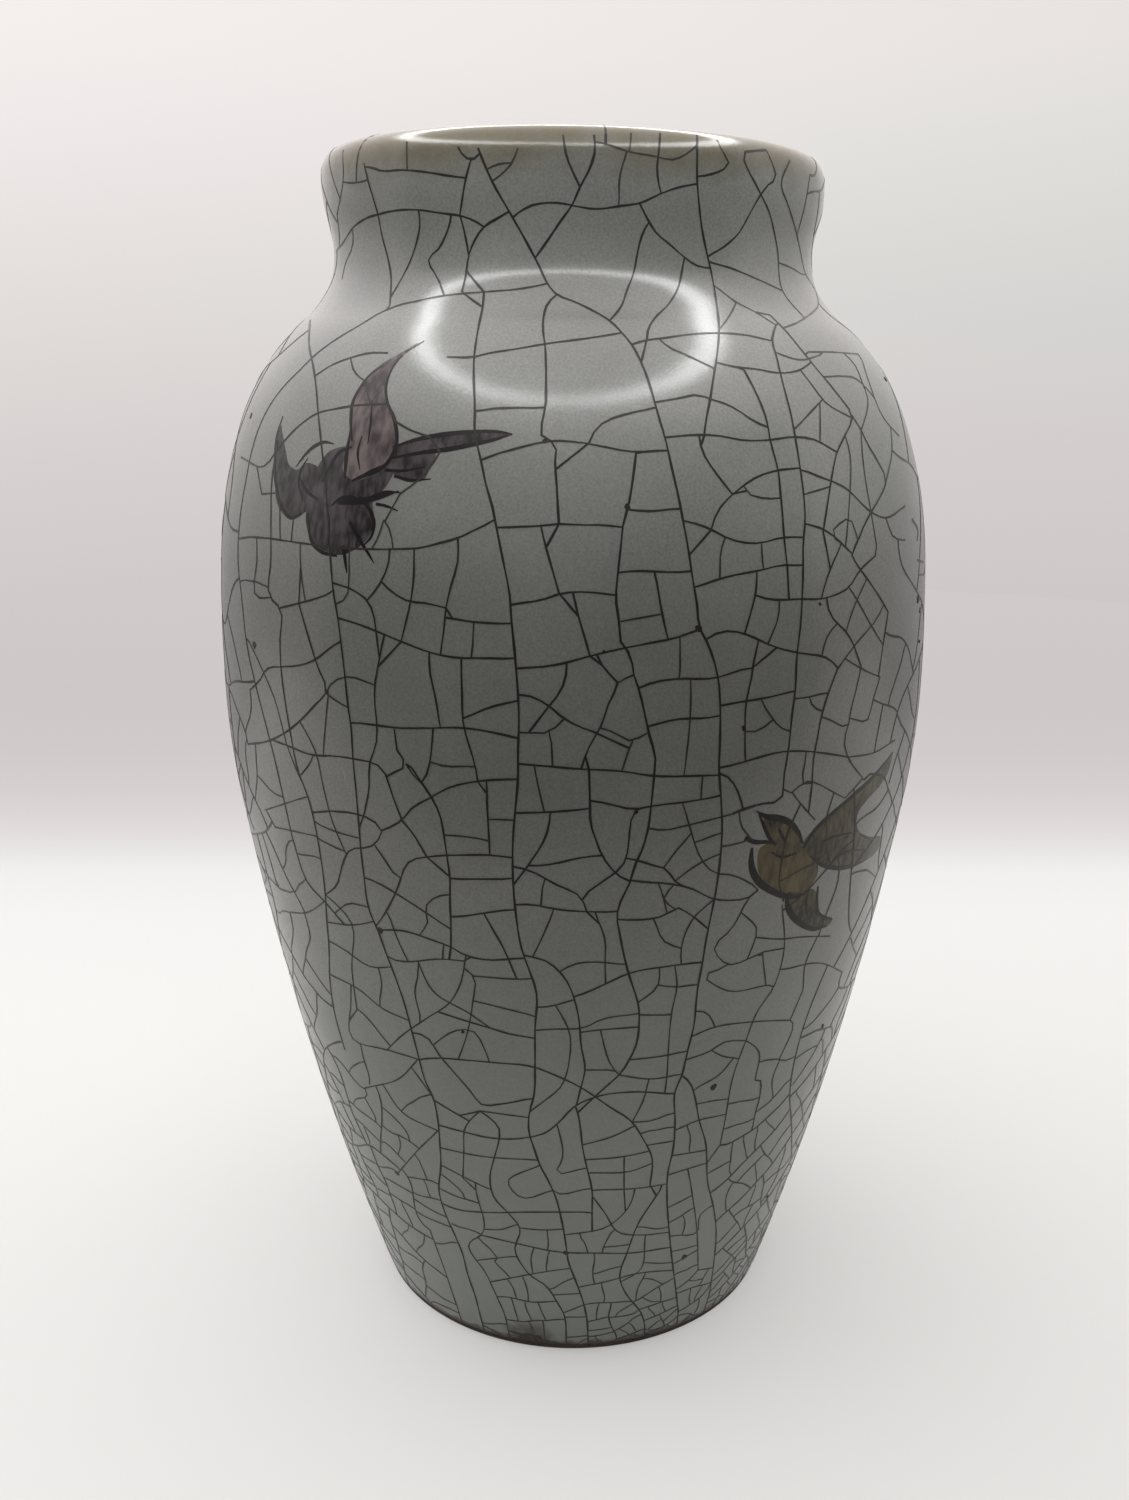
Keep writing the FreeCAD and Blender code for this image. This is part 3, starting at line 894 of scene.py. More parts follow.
FAINT_CRACKS = [
    [(518, 148), (512, 163), (503, 173), (493, 181)], [(512, 163), (500, 164), (488, 168)],
    [(343, 150), (343, 182), (340, 200), (337, 215)], [(343, 182), (355, 183), (368, 180)],
    [(354, 233), (352, 248), (345, 265), (342, 280)], [(407, 142), (407, 169)],
    [(600, 142), (630, 152), (658, 157), (672, 160), (683, 156), (697, 146)],
    [(627, 152), (620, 175), (619, 205)], [(631, 133), (630, 150)], [(810, 175), (805, 205), (797, 235)],
    [(780, 263), (795, 270), (806, 278)], [(736, 303), (730, 315), (719, 330)],
    [(720, 290), (736, 302), (755, 312), (776, 325)], [(350, 362), (357, 375), (365, 381)],
    [(262, 494), (277, 493)], [(294, 515), (291, 541)], [(280, 500), (280, 540)],
    [(384, 520), (390, 530), (393, 550)], [(384, 520), (377, 540), (372, 549)],
    [(300, 543), (301, 570), (305, 601)], [(660, 340), (670, 348), (682, 353)],
    [(440, 452), (432, 465), (422, 477), (400, 494)], [(776, 353), (803, 360), (820, 355)],
    [(800, 370), (812, 385), (825, 402), (852, 418)], [(820, 402), (808, 415), (794, 430)],
    [(820, 402), (820, 442)], [(808, 352), (830, 352), (858, 354)], [(838, 376), (855, 378), (868, 390)],
    [(843, 352), (855, 365), (862, 382), (868, 400), (866, 415), (861, 430)],
    [(862, 360), (870, 385), (885, 420), (899, 436)],
    [(861, 430), (862, 450), (867, 490), (871, 512), (878, 556)],
    [(846, 437), (850, 455), (850, 490), (848, 520)], [(744, 487), (750, 495), (762, 498), (780, 499)],
    [(805, 494), (830, 487)], [(725, 537), (721, 550), (720, 579)], [(761, 543), (763, 568)],
    [(842, 543), (832, 535), (838, 525), (848, 519), (858, 540)], [(891, 430), (892, 450), (886, 482)],
    [(886, 518), (895, 538), (905, 540)], [(336, 605), (346, 598), (349, 580), (349, 550)],
    [(245, 580), (257, 582)], [(474, 622), (473, 640), (472, 658)],
    [(326, 693), (332, 683), (345, 677), (375, 685)], [(326, 693), (335, 700), (347, 707)],
    [(328, 697), (326, 720), (323, 756)], [(313, 755), (309, 765), (300, 775)],
    [(431, 763), (445, 766), (475, 766)], [(300, 721), (316, 753), (323, 785), (332, 820), (345, 852)],
    [(250, 643), (258, 660), (275, 700), (288, 748), (303, 785)], [(621, 621), (640, 618), (662, 614)],
    [(519, 732), (550, 731), (558, 725), (565, 719)], [(550, 732), (552, 750), (552, 767)],
    [(534, 766), (538, 785), (544, 811)], [(618, 683), (626, 678), (634, 674)],
    [(600, 727), (615, 733), (632, 741), (647, 732)], [(632, 741), (627, 755), (622, 771)],
    [(680, 638), (680, 678)], [(691, 678), (690, 720), (684, 776)], [(702, 778), (701, 799)],
    [(780, 600), (778, 618), (768, 643)], [(837, 623), (828, 635), (821, 657)],
    [(849, 587), (857, 600), (872, 627), (883, 645)], [(866, 580), (852, 612), (846, 631)],
    [(838, 668), (855, 645), (877, 618), (884, 605)], [(845, 659), (868, 672), (880, 677)],
    [(761, 701), (768, 712), (783, 729), (791, 732)], [(745, 732), (758, 731), (772, 720)],
    [(795, 699), (808, 697), (828, 692)], [(809, 697), (813, 706), (823, 712)],
    [(822, 716), (849, 725), (850, 715), (856, 690), (861, 668)],
    [(849, 725), (844, 740), (848, 757), (864, 780)], [(853, 717), (865, 722), (873, 700), (880, 677)],
    [(848, 757), (873, 753), (895, 740)], [(806, 752), (804, 770), (802, 783), (812, 783)],
    [(311, 821), (340, 833), (359, 838)], [(275, 827), (316, 836)], [(265, 810), (284, 804), (305, 797)],
    [(316, 838), (345, 852)], [(290, 912), (305, 913), (326, 901)], [(328, 922), (350, 925), (374, 922)],
    [(341, 908), (347, 904), (368, 907)], [(326, 895), (340, 908), (350, 920), (352, 970), (357, 1010)],
    [(328, 940), (345, 950), (372, 967), (392, 967)], [(331, 975), (357, 988), (385, 1010), (408, 1020)],
    [(444, 835), (460, 836), (488, 840)], [(489, 819), (514, 820)],
    [(450, 895), (438, 896), (425, 912), (428, 917), (419, 937)],
    [(385, 957), (400, 961), (442, 959), (464, 961)], [(443, 945), (443, 960)],
    [(466, 956), (460, 985), (452, 1000), (424, 1020), (400, 1037), (387, 1050)],
    [(418, 962), (432, 990), (469, 1013)], [(418, 962), (418, 975), (415, 990), (420, 1015)],
    [(465, 968), (474, 977), (473, 1000), (466, 1038), (458, 1060)], [(474, 976), (515, 979), (532, 979)],
    [(475, 1001), (515, 1011), (535, 1016)], [(388, 912), (398, 940), (408, 961)],
    [(648, 829), (665, 830), (688, 825)], [(683, 803), (690, 828), (702, 860), (710, 870), (719, 873)],
    [(692, 833), (672, 856), (664, 868)], [(675, 881), (695, 866), (720, 853)], [(697, 842), (722, 832)],
    [(723, 817), (758, 805)], [(739, 813), (741, 825), (752, 840)], [(724, 847), (750, 840)],
    [(719, 873), (735, 876), (760, 889)], [(749, 896), (732, 928), (714, 949), (727, 964), (757, 955)],
    [(741, 912), (757, 930), (753, 945)], [(727, 965), (718, 970), (705, 975), (725, 990), (768, 985)],
    [(714, 899), (692, 920), (681, 950), (681, 965)], [(654, 919), (665, 942), (681, 948)],
    [(664, 900), (659, 882)], [(675, 908), (664, 900), (673, 885)], [(543, 880), (541, 905)],
    [(554, 910), (540, 942), (533, 956)], [(595, 913), (605, 940), (605, 963)],
    [(561, 970), (575, 964), (610, 963), (625, 965)], [(660, 969), (658, 985), (638, 1003)],
    [(675, 966), (677, 985), (672, 1010), (668, 1055), (667, 1075)], [(658, 985), (675, 987), (697, 984)],
    [(540, 1008), (556, 1005), (575, 999)], [(556, 1005), (570, 1035), (570, 1055), (558, 1090), (548, 1098)],
    [(784, 789), (792, 793), (802, 783), (845, 798)], [(792, 793), (800, 803), (815, 820)],
    [(782, 905), (784, 950), (772, 990), (758, 1010), (746, 1040), (732, 1080), (725, 1120), (720, 1145)],
    [(753, 937), (782, 939), (800, 937), (830, 936)], [(757, 953), (785, 948)], [(762, 953), (766, 985)],
    [(780, 970), (825, 964), (842, 972)], [(817, 937), (805, 965), (803, 990)],
    [(536, 1030), (555, 1029), (586, 1027), (600, 1020), (637, 1014)], [(597, 1030), (637, 1027)],
    [(600, 1030), (613, 1068), (619, 1075)], [(587, 1070), (618, 1070)],
    [(619, 1075), (650, 1079), (682, 1074)], [(629, 1060), (668, 1055), (685, 1051)],
    [(639, 1015), (671, 1015)], [(648, 1080), (645, 1095), (633, 1121)],
    [(692, 1036), (715, 1027), (750, 1022), (790, 1020)], [(697, 1010), (707, 1013), (715, 1027)],
    [(685, 1060), (712, 1050), (722, 1043), (746, 1040)], [(712, 1050), (722, 1056), (742, 1058)],
    [(746, 1040), (758, 1050), (755, 1080)], [(676, 1130), (699, 1120), (724, 1115)],
    [(648, 1145), (673, 1141)], [(583, 1160), (620, 1157), (647, 1152)],
    [(587, 1173), (635, 1170), (652, 1163)], [(624, 1158), (624, 1190)], [(671, 1156), (706, 1150)],
    [(668, 1175), (706, 1163)], [(592, 1190), (640, 1188), (667, 1184)],
    [(432, 1045), (458, 1030), (470, 1030), (490, 1060)],
    [(351, 1000), (352, 1038), (388, 1050), (418, 1059)], [(418, 1059), (400, 1078), (365, 1088)],
    [(412, 1068), (434, 1098)], [(382, 1083), (402, 1112), (438, 1131)], [(480, 1111), (525, 1117)],
    [(480, 1110), (465, 1128), (464, 1150), (463, 1178)],
    [(558, 1125), (562, 1160), (557, 1171), (587, 1168)], [(441, 1148), (480, 1156), (538, 1160)],
    [(438, 1131), (420, 1148), (398, 1173)], [(540, 1165), (508, 1183), (520, 1197), (553, 1190)],
    [(441, 1165), (470, 1180), (491, 1190)],
    [(476, 1190), (481, 1235), (470, 1242), (487, 1275), (503, 1310)],
    [(520, 1228), (545, 1230), (563, 1229)], [(478, 1260), (516, 1256)],
    [(500, 1280), (537, 1273), (570, 1268)], [(566, 1235), (610, 1225), (632, 1200), (635, 1188)],
    [(605, 1213), (618, 1232), (640, 1235), (669, 1232)], [(645, 1235), (640, 1270), (620, 1282)],
    [(578, 1287), (600, 1283), (640, 1273), (673, 1270)],
    [(672, 1235), (697, 1232), (700, 1215), (713, 1205)], [(430, 1230), (443, 1265), (455, 1300)],
    [(567, 1312), (583, 1305), (620, 1302), (635, 1300)], [(690, 1180), (697, 1232), (698, 1270)],
]


# The drawn cracks with their size, from the finest at 0 to the widest at 1, and their faintness
DRAWN_CRACKS = ((LONG_CRACKS, 1.0, 0.0), (RUNG_CRACKS, 0.75, 0.1), (FAINT_CRACKS, 0.45, 0.35))

# The grid that the cracks are found on: its step at the belly, and its steps in one of the coarse grid
GRID_STEP = 0.5 * MM
COARSE = 3

# Half the width at which a cell stops cracking, at heights above the foot
CELL_HEIGHTS = np.array([0, 30, 80, 150, 190, 220, 250]) * MM
CELL_HALVES = np.array([2.1, 2.5, 3.2, 3.8, 4.6, 5.6, 5.4]) * MM

# Wider and finer cells in lumps: how many waves make them, how much these may differ, and their strength
LUMPS = 14
LUMP_WAVES = (1, 7)
LUMP_RISE = 6
LUMP_SHIFT = 6.3
LUMPINESS = 0.9

# Wider cells where the cracks are drawn: by how much at which turns, and how strongly at which heights
DRAWN_TURNS = [1.05, 1.35]
DRAWN_SHARES = [0.5, 0.0]
DRAWN_HEIGHTS = np.array([35, 75, 150, 170]) * MM
DRAWN_STRENGTHS = [0.0, 1.0, 1.0, 5.0]

# A laid crack: its spacing in grid steps, how far from it cells are measured, in what stretches
LAID_SPACING = 0.7
MEASURED = 13 * MM
UNMEASURED = 9.0
STRETCH = 24
STRETCH_ROOM = 9

# Ends of drawn cracks: pixels between places, how near the crest or the foot they run on, and how far
DRAWN_SPACING = 8
CREST_NEAR = 3 * MM
CREST_OVER = 7 * MM
FOOT_NEAR = 16 * MM
FOOT_CLIMB = 0.002
END_NEAR = 1.1 * MM

# Ends of cracks: grid steps that don't count as a meeting, how far a loose end runs on, and how it may turn
END_STEPS = 3
JOIN_REACH = 7 * MM
JOIN_LEANS = (0, 0.5, -0.5, 1.0, -1.0)

# Long cracks of the back: how many, the turn of the first, their ends, their sway, size and faintness
BACK_CRACKS = 11
BACK_FROM = 1.55
BACK_START = 0.01
BACK_STOP = 0.02
BACK_PLACES = 40
SWAYS = 4
SWAY = 0.1
SWAY_RATE = 1.9
SWAY_SHIFT = 6
BACK_SIZE = 0.9
BACK_FAINTNESS = 0.1

# Parting a cell: directions tried, how far, and by how much a longer way may be taken
WAYS = 24
WAY_SHIFT = 0.26
FARTHEST_WALL = 42 * MM
WAY_ODDS = (1, 1.3)

# The crack that parts it: how squarely it meets the walls, its pull, spacing, waves and shortest length
SQUARENESS = 0.75
PULL = (0.3, 0.45)
PLACE_STEP = 2 * MM
LEAST_PLACES = 4
WAVES = (2, 3, 5)
WAVINESS = 0.045
SHORTEST = 1.2 * MM
CUT_LEAST = 6
CUT_STEP = 4
WIDE_CELL = 9 * MM

# When to stop: the most cracks, and how far round a cell that can't be parted no other is tried
MOST_CRACKS = 6000
SHUT_ROUND = 2

# Ribbons of the cracks: their step at a middling radius, and the waves of their width, quick and slow
RIBBON_STEP = 1.9 * MM
RIBBON_RADIUS = 65 * MM
QUICK_SWELL = 0.18
QUICK_RATE = 1.7
QUICK_SHIFT = 40
SLOW_SWELL = 0.12
SLOW_RATE = 0.6

# Cracks fade towards the foot: by how much at which heights
FADING_HEIGHTS = [20 * MM, 110 * MM]
FADING = [0.4, 0.0]


class Crackle:
    """Cracks that part the glaze into cells, the widest cell first, as it does when it cools."""

    def __init__(self, dice):
        self.dice = dice
        self.columns = int(round(2 * math.pi / (GRID_STEP / WALL.radius.max()) / COARSE)) * COARSE
        self.cell = 2 * math.pi / self.columns
        self.rows = int(WALL.climb[-1] / self.cell / COARSE) * COARSE
        self.owner = np.full((self.rows, self.columns), -1, np.int32)
        self.places = np.zeros((0, 4))
        self.gap = np.full((self.rows // COARSE, self.columns // COARSE), UNMEASURED)
        self.turns = (np.arange(self.columns // COARSE) + 0.5) * COARSE * self.cell - math.pi
        self.climbs = (np.arange(self.rows // COARSE) + 0.5) * COARSE * self.cell
        self.radii = WALL.radius_at(self.climbs)[:, None]
        self.strokes = []
        self.loose = []
        self.wanted = self.wanted_gaps()

    def wanted_gaps(self):
        """Half the width at which a cell stops cracking, over the whole wall."""
        heights = WALL.height_at(self.climbs)
        spread = np.interp(heights, CELL_HEIGHTS, CELL_HALVES)
        lumps = np.zeros_like(self.gap)
        for _ in range(LUMPS):
            waves = self.dice.randint(*LUMP_WAVES)
            rise = self.dice.uniform(-LUMP_RISE, LUMP_RISE)
            shift = self.dice.uniform(0, LUMP_SHIFT)
            lumps += np.sin(waves * self.turns[None, :] + rise * self.climbs[:, None] + shift) / LUMPS
        drawn = np.interp(np.abs(self.turns), DRAWN_TURNS, DRAWN_SHARES)[None, :]
        drawn = 1 + drawn * np.interp(heights, DRAWN_HEIGHTS, DRAWN_STRENGTHS)[:, None]
        return spread[:, None] * drawn * np.exp(LUMPINESS * lumps)

    def index(self, turn, climb):
        """Rows and columns of the grid at turns and climbs."""
        column = np.floor((np.asarray(turn) + math.pi) / self.cell).astype(int) % self.columns
        row = np.floor(np.asarray(climb) / self.cell).astype(int)
        return row, column

    def lay(self, line, size, faint):
        """Adds one crack along a line of places."""
        line = np.asarray(line, float)
        fine = smooth_line(line, self.cell * LAID_SPACING)
        heading = np.gradient(fine, axis=0)
        heading /= np.linalg.norm(heading, axis=1)[:, None] + TINY
        first = len(self.places)
        self.places = np.concatenate([self.places, np.concatenate([fine, heading], axis=1)])
        row, column = self.index(*fine.T)
        number = np.arange(first, first + len(fine))
        for down in (0, 1):
            for over in (0, 1):
                inside = (row + down >= 0) & (row + down < self.rows)
                self.owner[(row + down)[inside], ((column + over) % self.columns)[inside]] = number[inside]
        reach = int(MEASURED / WALL.radius.min() / self.cell / COARSE) + 2
        for start in range(0, len(fine), STRETCH):
            part = fine[start:start + STRETCH + 1:COARSE]
            rows, columns = self.index(*part.T)
            low = max(0, rows.min() // COARSE - reach)
            high = min(len(self.climbs), rows.max() // COARSE + reach)
            room = reach + STRETCH_ROOM
            near = np.arange(columns[0] // COARSE - room, columns[0] // COARSE + room)
            turns = (near + 0.5) * COARSE * self.cell - math.pi
            middle = part[0, 0] - (columns[0] + 0.5) * self.cell + math.pi
            rounds = round(middle / (2 * math.pi)) * 2 * math.pi
            across = turns[None, :, None] + rounds - part[None, None, :, 0]
            above = self.climbs[low:high, None, None] - part[None, None, :, 1]
            gap = np.sqrt((across ** 2 + above ** 2).min(2))
            window = np.ix_(np.arange(low, high), near % len(self.turns))
            self.gap[window] = np.minimum(self.gap[window], gap)
        self.strokes.append((line, size, faint))

    def draw(self, pixels, size, faint):
        """Adds a crack drawn in pixels. Its ends meet cracks close by or run over the lip or to the foot."""
        line, _ = on_wall(smooth_line(pixels, DRAWN_SPACING))
        for end, inner in ((0, 1), (-1, -2)):
            heading = line[end] - line[inner]
            on = line[end, 0] + heading[0]
            falling = -heading[1] > abs(heading[0])
            if line[end, 1] > WALL.crest - CREST_NEAR / CREST[0]:
                over = [on, WALL.crest + CREST_OVER / CREST[0]]
                line = np.concatenate([[over], line] if end == 0 else [line, [over]])
            elif line[end, 1] < WALL.climb_at(FOOT_NEAR) and falling:
                over = [on, FOOT_CLIMB]
                line = np.concatenate([[over], line] if end == 0 else [line, [over]])
            elif len(self.places):
                gap = np.hypot(*(self.places[:, :2] - line[end]).T)
                if gap.min() * WALL.radius_at(line[end, 1]) < END_NEAR:
                    line[end] = self.places[gap.argmin(), :2]
                else:
                    self.loose.append((line[end].copy(), heading / np.linalg.norm(heading), size, faint))
        self.lay(line, size, faint)

    def join(self):
        """Runs the ends that stop in a cell on to the next crack."""
        for end, heading, size, faint in self.loose:
            far = int(JOIN_REACH / WALL.radius_at(end[1]) / self.cell)
            steps = np.arange(END_STEPS, far)[:, None] * self.cell
            for lean in JOIN_LEANS:
                way = heading @ [[math.cos(lean), math.sin(lean)], [-math.sin(lean), math.cos(lean)]]
                rows, columns = self.index(*(end + steps * way).T)
                met = self.owner[rows.clip(0, self.rows - 1), columns]
                if (met >= 0).any():
                    self.lay([end, self.places[met[(met >= 0).argmax()], :2]], size, faint)
                    break

    def climb(self, turn):
        """Adds a long crack that climbs from the foot into the throat."""
        sway = [self.dice.uniform(-1, 1) for _ in range(SWAYS)]
        climbs = np.linspace(BACK_START, WALL.climb[-1] - BACK_STOP, BACK_PLACES)
        turns = turn + sum(share * SWAY * np.sin((number + 1) * SWAY_RATE * climbs + SWAY_SHIFT * share)
                           for number, share in enumerate(sway))
        self.lay(np.stack([turns, climbs], axis=1), BACK_SIZE, BACK_FAINTNESS)

    def part(self, row, column):
        """Cracks the cell round a place across, and says whether a crack went in."""
        middle = np.array([self.turns[column], self.climbs[row]])
        radius = self.radii[row, 0]
        angles = np.arange(WAYS) * 2 * math.pi / WAYS + self.dice.uniform(0, WAY_SHIFT)
        heads = np.stack([np.cos(angles), np.sin(angles)], axis=1)
        far = int(FARTHEST_WALL / radius / self.cell)
        steps = np.arange(1, far)[:, None, None] * self.cell
        rows, columns = self.index(*np.moveaxis(middle + steps * heads, 2, 0))
        outside = (rows < 0) | (rows >= self.rows)
        met = self.owner[rows.clip(0, self.rows - 1), columns]
        stopped = outside | (met >= 0)
        stopped[-1] = True
        hit = stopped.argmax(0)
        spans = hit[:WAYS // 2] + hit[WAYS // 2:]
        odds = [self.dice.uniform(*WAY_ODDS) for _ in range(WAYS // 2)]
        way = int((spans * odds).argmin())
        ends, normals = [], []
        for direction in (way, way + WAYS // 2):
            end = middle + heads[direction] * (hit[direction] + 1) * self.cell
            owner = -1 if outside[hit[direction], direction] else met[hit[direction], direction]
            normal = -heads[direction]
            if owner >= 0:
                turn, climb, ahead, rise = self.places[owner]
                end = np.array([turn + round((end[0] - turn) / (2 * math.pi)) * 2 * math.pi, climb])
                square = np.array([-rise, ahead])
                square *= 1 if square @ normal > 0 else -1
                normal = square * SQUARENESS + normal * (1 - SQUARENESS)
            ends.append(end)
            normals.append(normal / np.linalg.norm(normal))
        span = np.linalg.norm(ends[1] - ends[0])
        if span * radius < SHORTEST:
            return False
        pull = span * self.dice.uniform(*PULL)
        controls = (ends[0], ends[0] + normals[0] * pull, ends[1] + normals[1] * pull, ends[1])
        count = max(LEAST_PLACES, int(span * radius / PLACE_STEP) + 2)
        share = np.linspace(0, 1, count)[:, None]
        rest = 1 - share
        weights = (rest ** 3, 3 * share * rest ** 2, 3 * share ** 2 * rest, share ** 3)
        line = sum(weight * place for weight, place in zip(weights, controls))
        side = np.array([-(ends[1] - ends[0])[1], (ends[1] - ends[0])[0]])
        waves = sum(self.dice.uniform(-1, 1) * np.sin(math.pi * turn * share) / turn for turn in WAVES)
        line = line + side * waves * WAVINESS
        fine = smooth_line(line, self.cell)
        rows, columns = self.index(*fine.T)
        crossed = self.owner[rows.clip(0, self.rows - 1), columns] >= 0
        crossed[:END_STEPS] = crossed[-END_STEPS:] = False
        if crossed.any():
            half = len(fine) // 2
            before = np.flatnonzero(crossed[:half])
            after = np.flatnonzero(crossed[half:])
            first = before[-1] if len(before) else 0
            last = half + after[0] if len(after) else len(fine) - 1
            fine = fine[first:last + 1]
            if len(fine) < CUT_LEAST:
                return False
            line = fine[np.linspace(0, len(fine) - 1, max(3, len(fine) // CUT_STEP)).astype(int)]
        size = min(1.0, self.gap[row, column] * radius / WIDE_CELL)
        self.lay(line, size, 1 - size)
        return True

    def fill(self):
        """Cracks cell after cell until each is as small as its place wants."""
        shut = np.zeros_like(self.gap, bool)
        made = 0
        while made < MOST_CRACKS:
            ratio = np.where(shut, 0, self.gap * self.radii / self.wanted)
            row, column = np.unravel_index(ratio.argmax(), ratio.shape)
            if ratio[row, column] < 1:
                break
            if self.part(row, column):
                made += 1
            else:
                low, left = max(0, row - SHUT_ROUND), max(0, column - SHUT_ROUND)
                shut[low:row + SHUT_ROUND + 1, left:column + SHUT_ROUND + 1] = True


def crack_net():
    """All cracks of the outside, the lip and the throat."""
    sizes = bpy.context.scene.vase_crackle
    net = Crackle(random.Random(sizes.seed))
    for cracks, size, faint in DRAWN_CRACKS:
        for pixels in cracks:
            net.draw(pixels, size, faint)
    net.join()
    for number in range(BACK_CRACKS):
        net.climb(BACK_FROM + number * (2 * math.pi - 2 * BACK_FROM) / (BACK_CRACKS - 1))
    net.fill()
    strokes = []
    for line, size, faint in net.strokes:
        reach = np.linalg.norm(np.diff(line, axis=0), axis=1).sum()
        count = max(2, int(reach * RIBBON_RADIUS / RIBBON_STEP) + 1)
        line = smooth_line(line, reach / count)
        width = sizes.finest + (sizes.widest - sizes.finest) * size
        along = np.arange(len(line))
        quick = QUICK_SWELL * np.sin(along * QUICK_RATE + QUICK_SHIFT * line[0, 0])
        slow = SLOW_SWELL * np.sin(along * SLOW_RATE)
        faded = np.interp(WALL.height_at(line[:, 1]), FADING_HEIGHTS, FADING)
        strokes.append((line, width * (1 + quick + slow), faint + (1 - faint) * faded))
    return strokes


class VASE_OT_crackle(bpy.types.Operator):
    """Stained cracks over the outside, the lip and the throat"""
    bl_idname = "vase.crackle"
    bl_label = "Crackle"

    def execute(self, context):
        sizes = context.scene.vase_crackle
        wall_ribbons("stained_crackle", crack_net(), crack_stain(), sizes.proud, sizes.depth)
        return {"FINISHED"}


# The painted birds in the photograph's pixels: washes as outlines, ink as strokes with their widths
DARK_WASHES = [
    [(281, 425), (277, 440), (275, 475), (281, 511), (291, 520), (303, 514), (314, 500), (321, 480),
     (318, 467), (305, 463), (297, 470), (290, 466), (286, 452)],
    [(318, 466), (330, 451), (347, 446), (375, 452), (400, 458), (395, 470), (385, 488), (373, 501),
     (374, 518), (368, 538), (356, 549), (340, 555), (325, 551), (312, 541), (306, 522), (310, 492)],
    [(386, 452), (400, 444), (440, 433), (480, 431), (513, 434), (480, 444), (440, 451), (405, 458),
     (392, 462)],
    [(394, 460), (436, 455), (431, 466), (423, 480), (404, 481), (393, 473)],
]
DARK_WING = [
    [(418, 343), (399, 354), (379, 366), (365, 379), (353, 400), (350, 425), (347, 450), (343, 470),
     (352, 480), (370, 476), (388, 462), (396, 430), (393, 414), (387, 400), (386, 386), (390, 373),
     (403, 356)],
]
DARK_INK = [
    ([(392, 447), (415, 440), (440, 435), (470, 432), (500, 432), (512, 434)], (1, 4, 5, 4, 3, 1)),
    ([(392, 458), (420, 453), (450, 449), (480, 443), (500, 438), (508, 435)], (2, 4, 5, 4, 3, 1)),
    ([(350, 522), (360, 540), (368, 553), (374, 563)], (4, 4, 3, 1)),
    ([(343, 546), (345, 558), (346, 566), (347, 573)], (4, 4, 3, 1)),
    ([(308, 513), (309, 530), (313, 544), (322, 552), (337, 556)], (2, 3, 4, 4, 2)),
    ([(361, 499), (370, 510), (374, 522), (371, 537), (362, 547)], (2, 4, 4, 3, 1)),
    ([(372, 497), (385, 492), (402, 493)], (3, 3, 1)),
    ([(376, 504), (386, 506), (398, 511)], (3, 3, 1)),
    ([(385, 470), (400, 471), (425, 467)], (3, 3, 1)),
    ([(394, 476), (410, 480), (431, 479)], (3, 3, 1)),
    ([(283, 416), (277, 435), (275, 460), (276, 485), (281, 505), (291, 518), (302, 513)],
     (1, 3, 4, 4, 4, 3, 1)),
    ([(296, 467), (305, 455), (315, 446), (325, 442), (334, 444)], (1, 3, 4, 3, 1)),
    ([(322, 482), (331, 465), (340, 452), (352, 447)], (1, 4, 4, 2)),
    ([(326, 503), (329, 520), (328, 548)], (1, 3, 1)),
    ([(352, 441), (351, 420), (353, 402), (360, 388), (370, 375), (384, 365)], (2, 4, 4, 3, 2, 1)),
    ([(396, 456), (397, 435), (394, 418), (388, 404), (386, 388), (391, 371), (402, 355)],
     (2, 4, 4, 3, 3, 2, 1)),
    ([(352, 481), (372, 472), (387, 464)], (2, 6, 2)),
    ([(338, 503), (360, 501), (380, 497), (399, 491)], (3, 7, 5, 1)),
    ([(372, 400), (371, 420), (368, 444)], (1, 3, 1)),
    ([(300, 478), (306, 490), (318, 500)], (1, 4, 2)),
    ([(405, 352), (414, 347), (424, 341)], (2, 2, 1)),
    ([(345, 478), (346, 462), (348, 446), (351, 430)], (2, 5, 4, 2)),
    ([(372, 474), (382, 468), (392, 456), (397, 440)], (2, 4, 4, 2)),
    ([(331, 506), (340, 499), (352, 498), (364, 504)], (1, 4, 5, 2)),
    ([(303, 500), (299, 485), (301, 470), (308, 458)], (1, 3, 3, 1)),
    ([(360, 470), (358, 452), (362, 436)], (1, 3, 1)),
]
OCHRE_BODY = [
    [(757, 857), (760, 848), (770, 843), (786, 842), (798, 843), (806, 850), (817, 860), (818, 871),
     (813, 883), (804, 892), (792, 894), (777, 891), (765, 883), (758, 872)],
]
OCHRE_WASHES = [
    [(763, 818), (776, 815), (789, 818), (798, 827), (802, 840), (801, 851), (786, 856), (771, 851),
     (769, 838)],
    [(803, 845), (812, 831), (826, 817), (842, 804), (857, 793), (872, 778), (884, 764), (892, 753),
     (888, 772), (879, 787), (867, 800), (858, 813), (857, 827), (866, 838), (880, 837), (878, 849),
     (868, 859), (852, 865), (836, 866), (819, 862), (808, 855)],
    [(787, 893), (800, 892), (814, 889), (818, 898), (819, 914), (832, 919), (828, 926), (814, 928),
     (802, 925), (794, 915), (788, 904)],
]
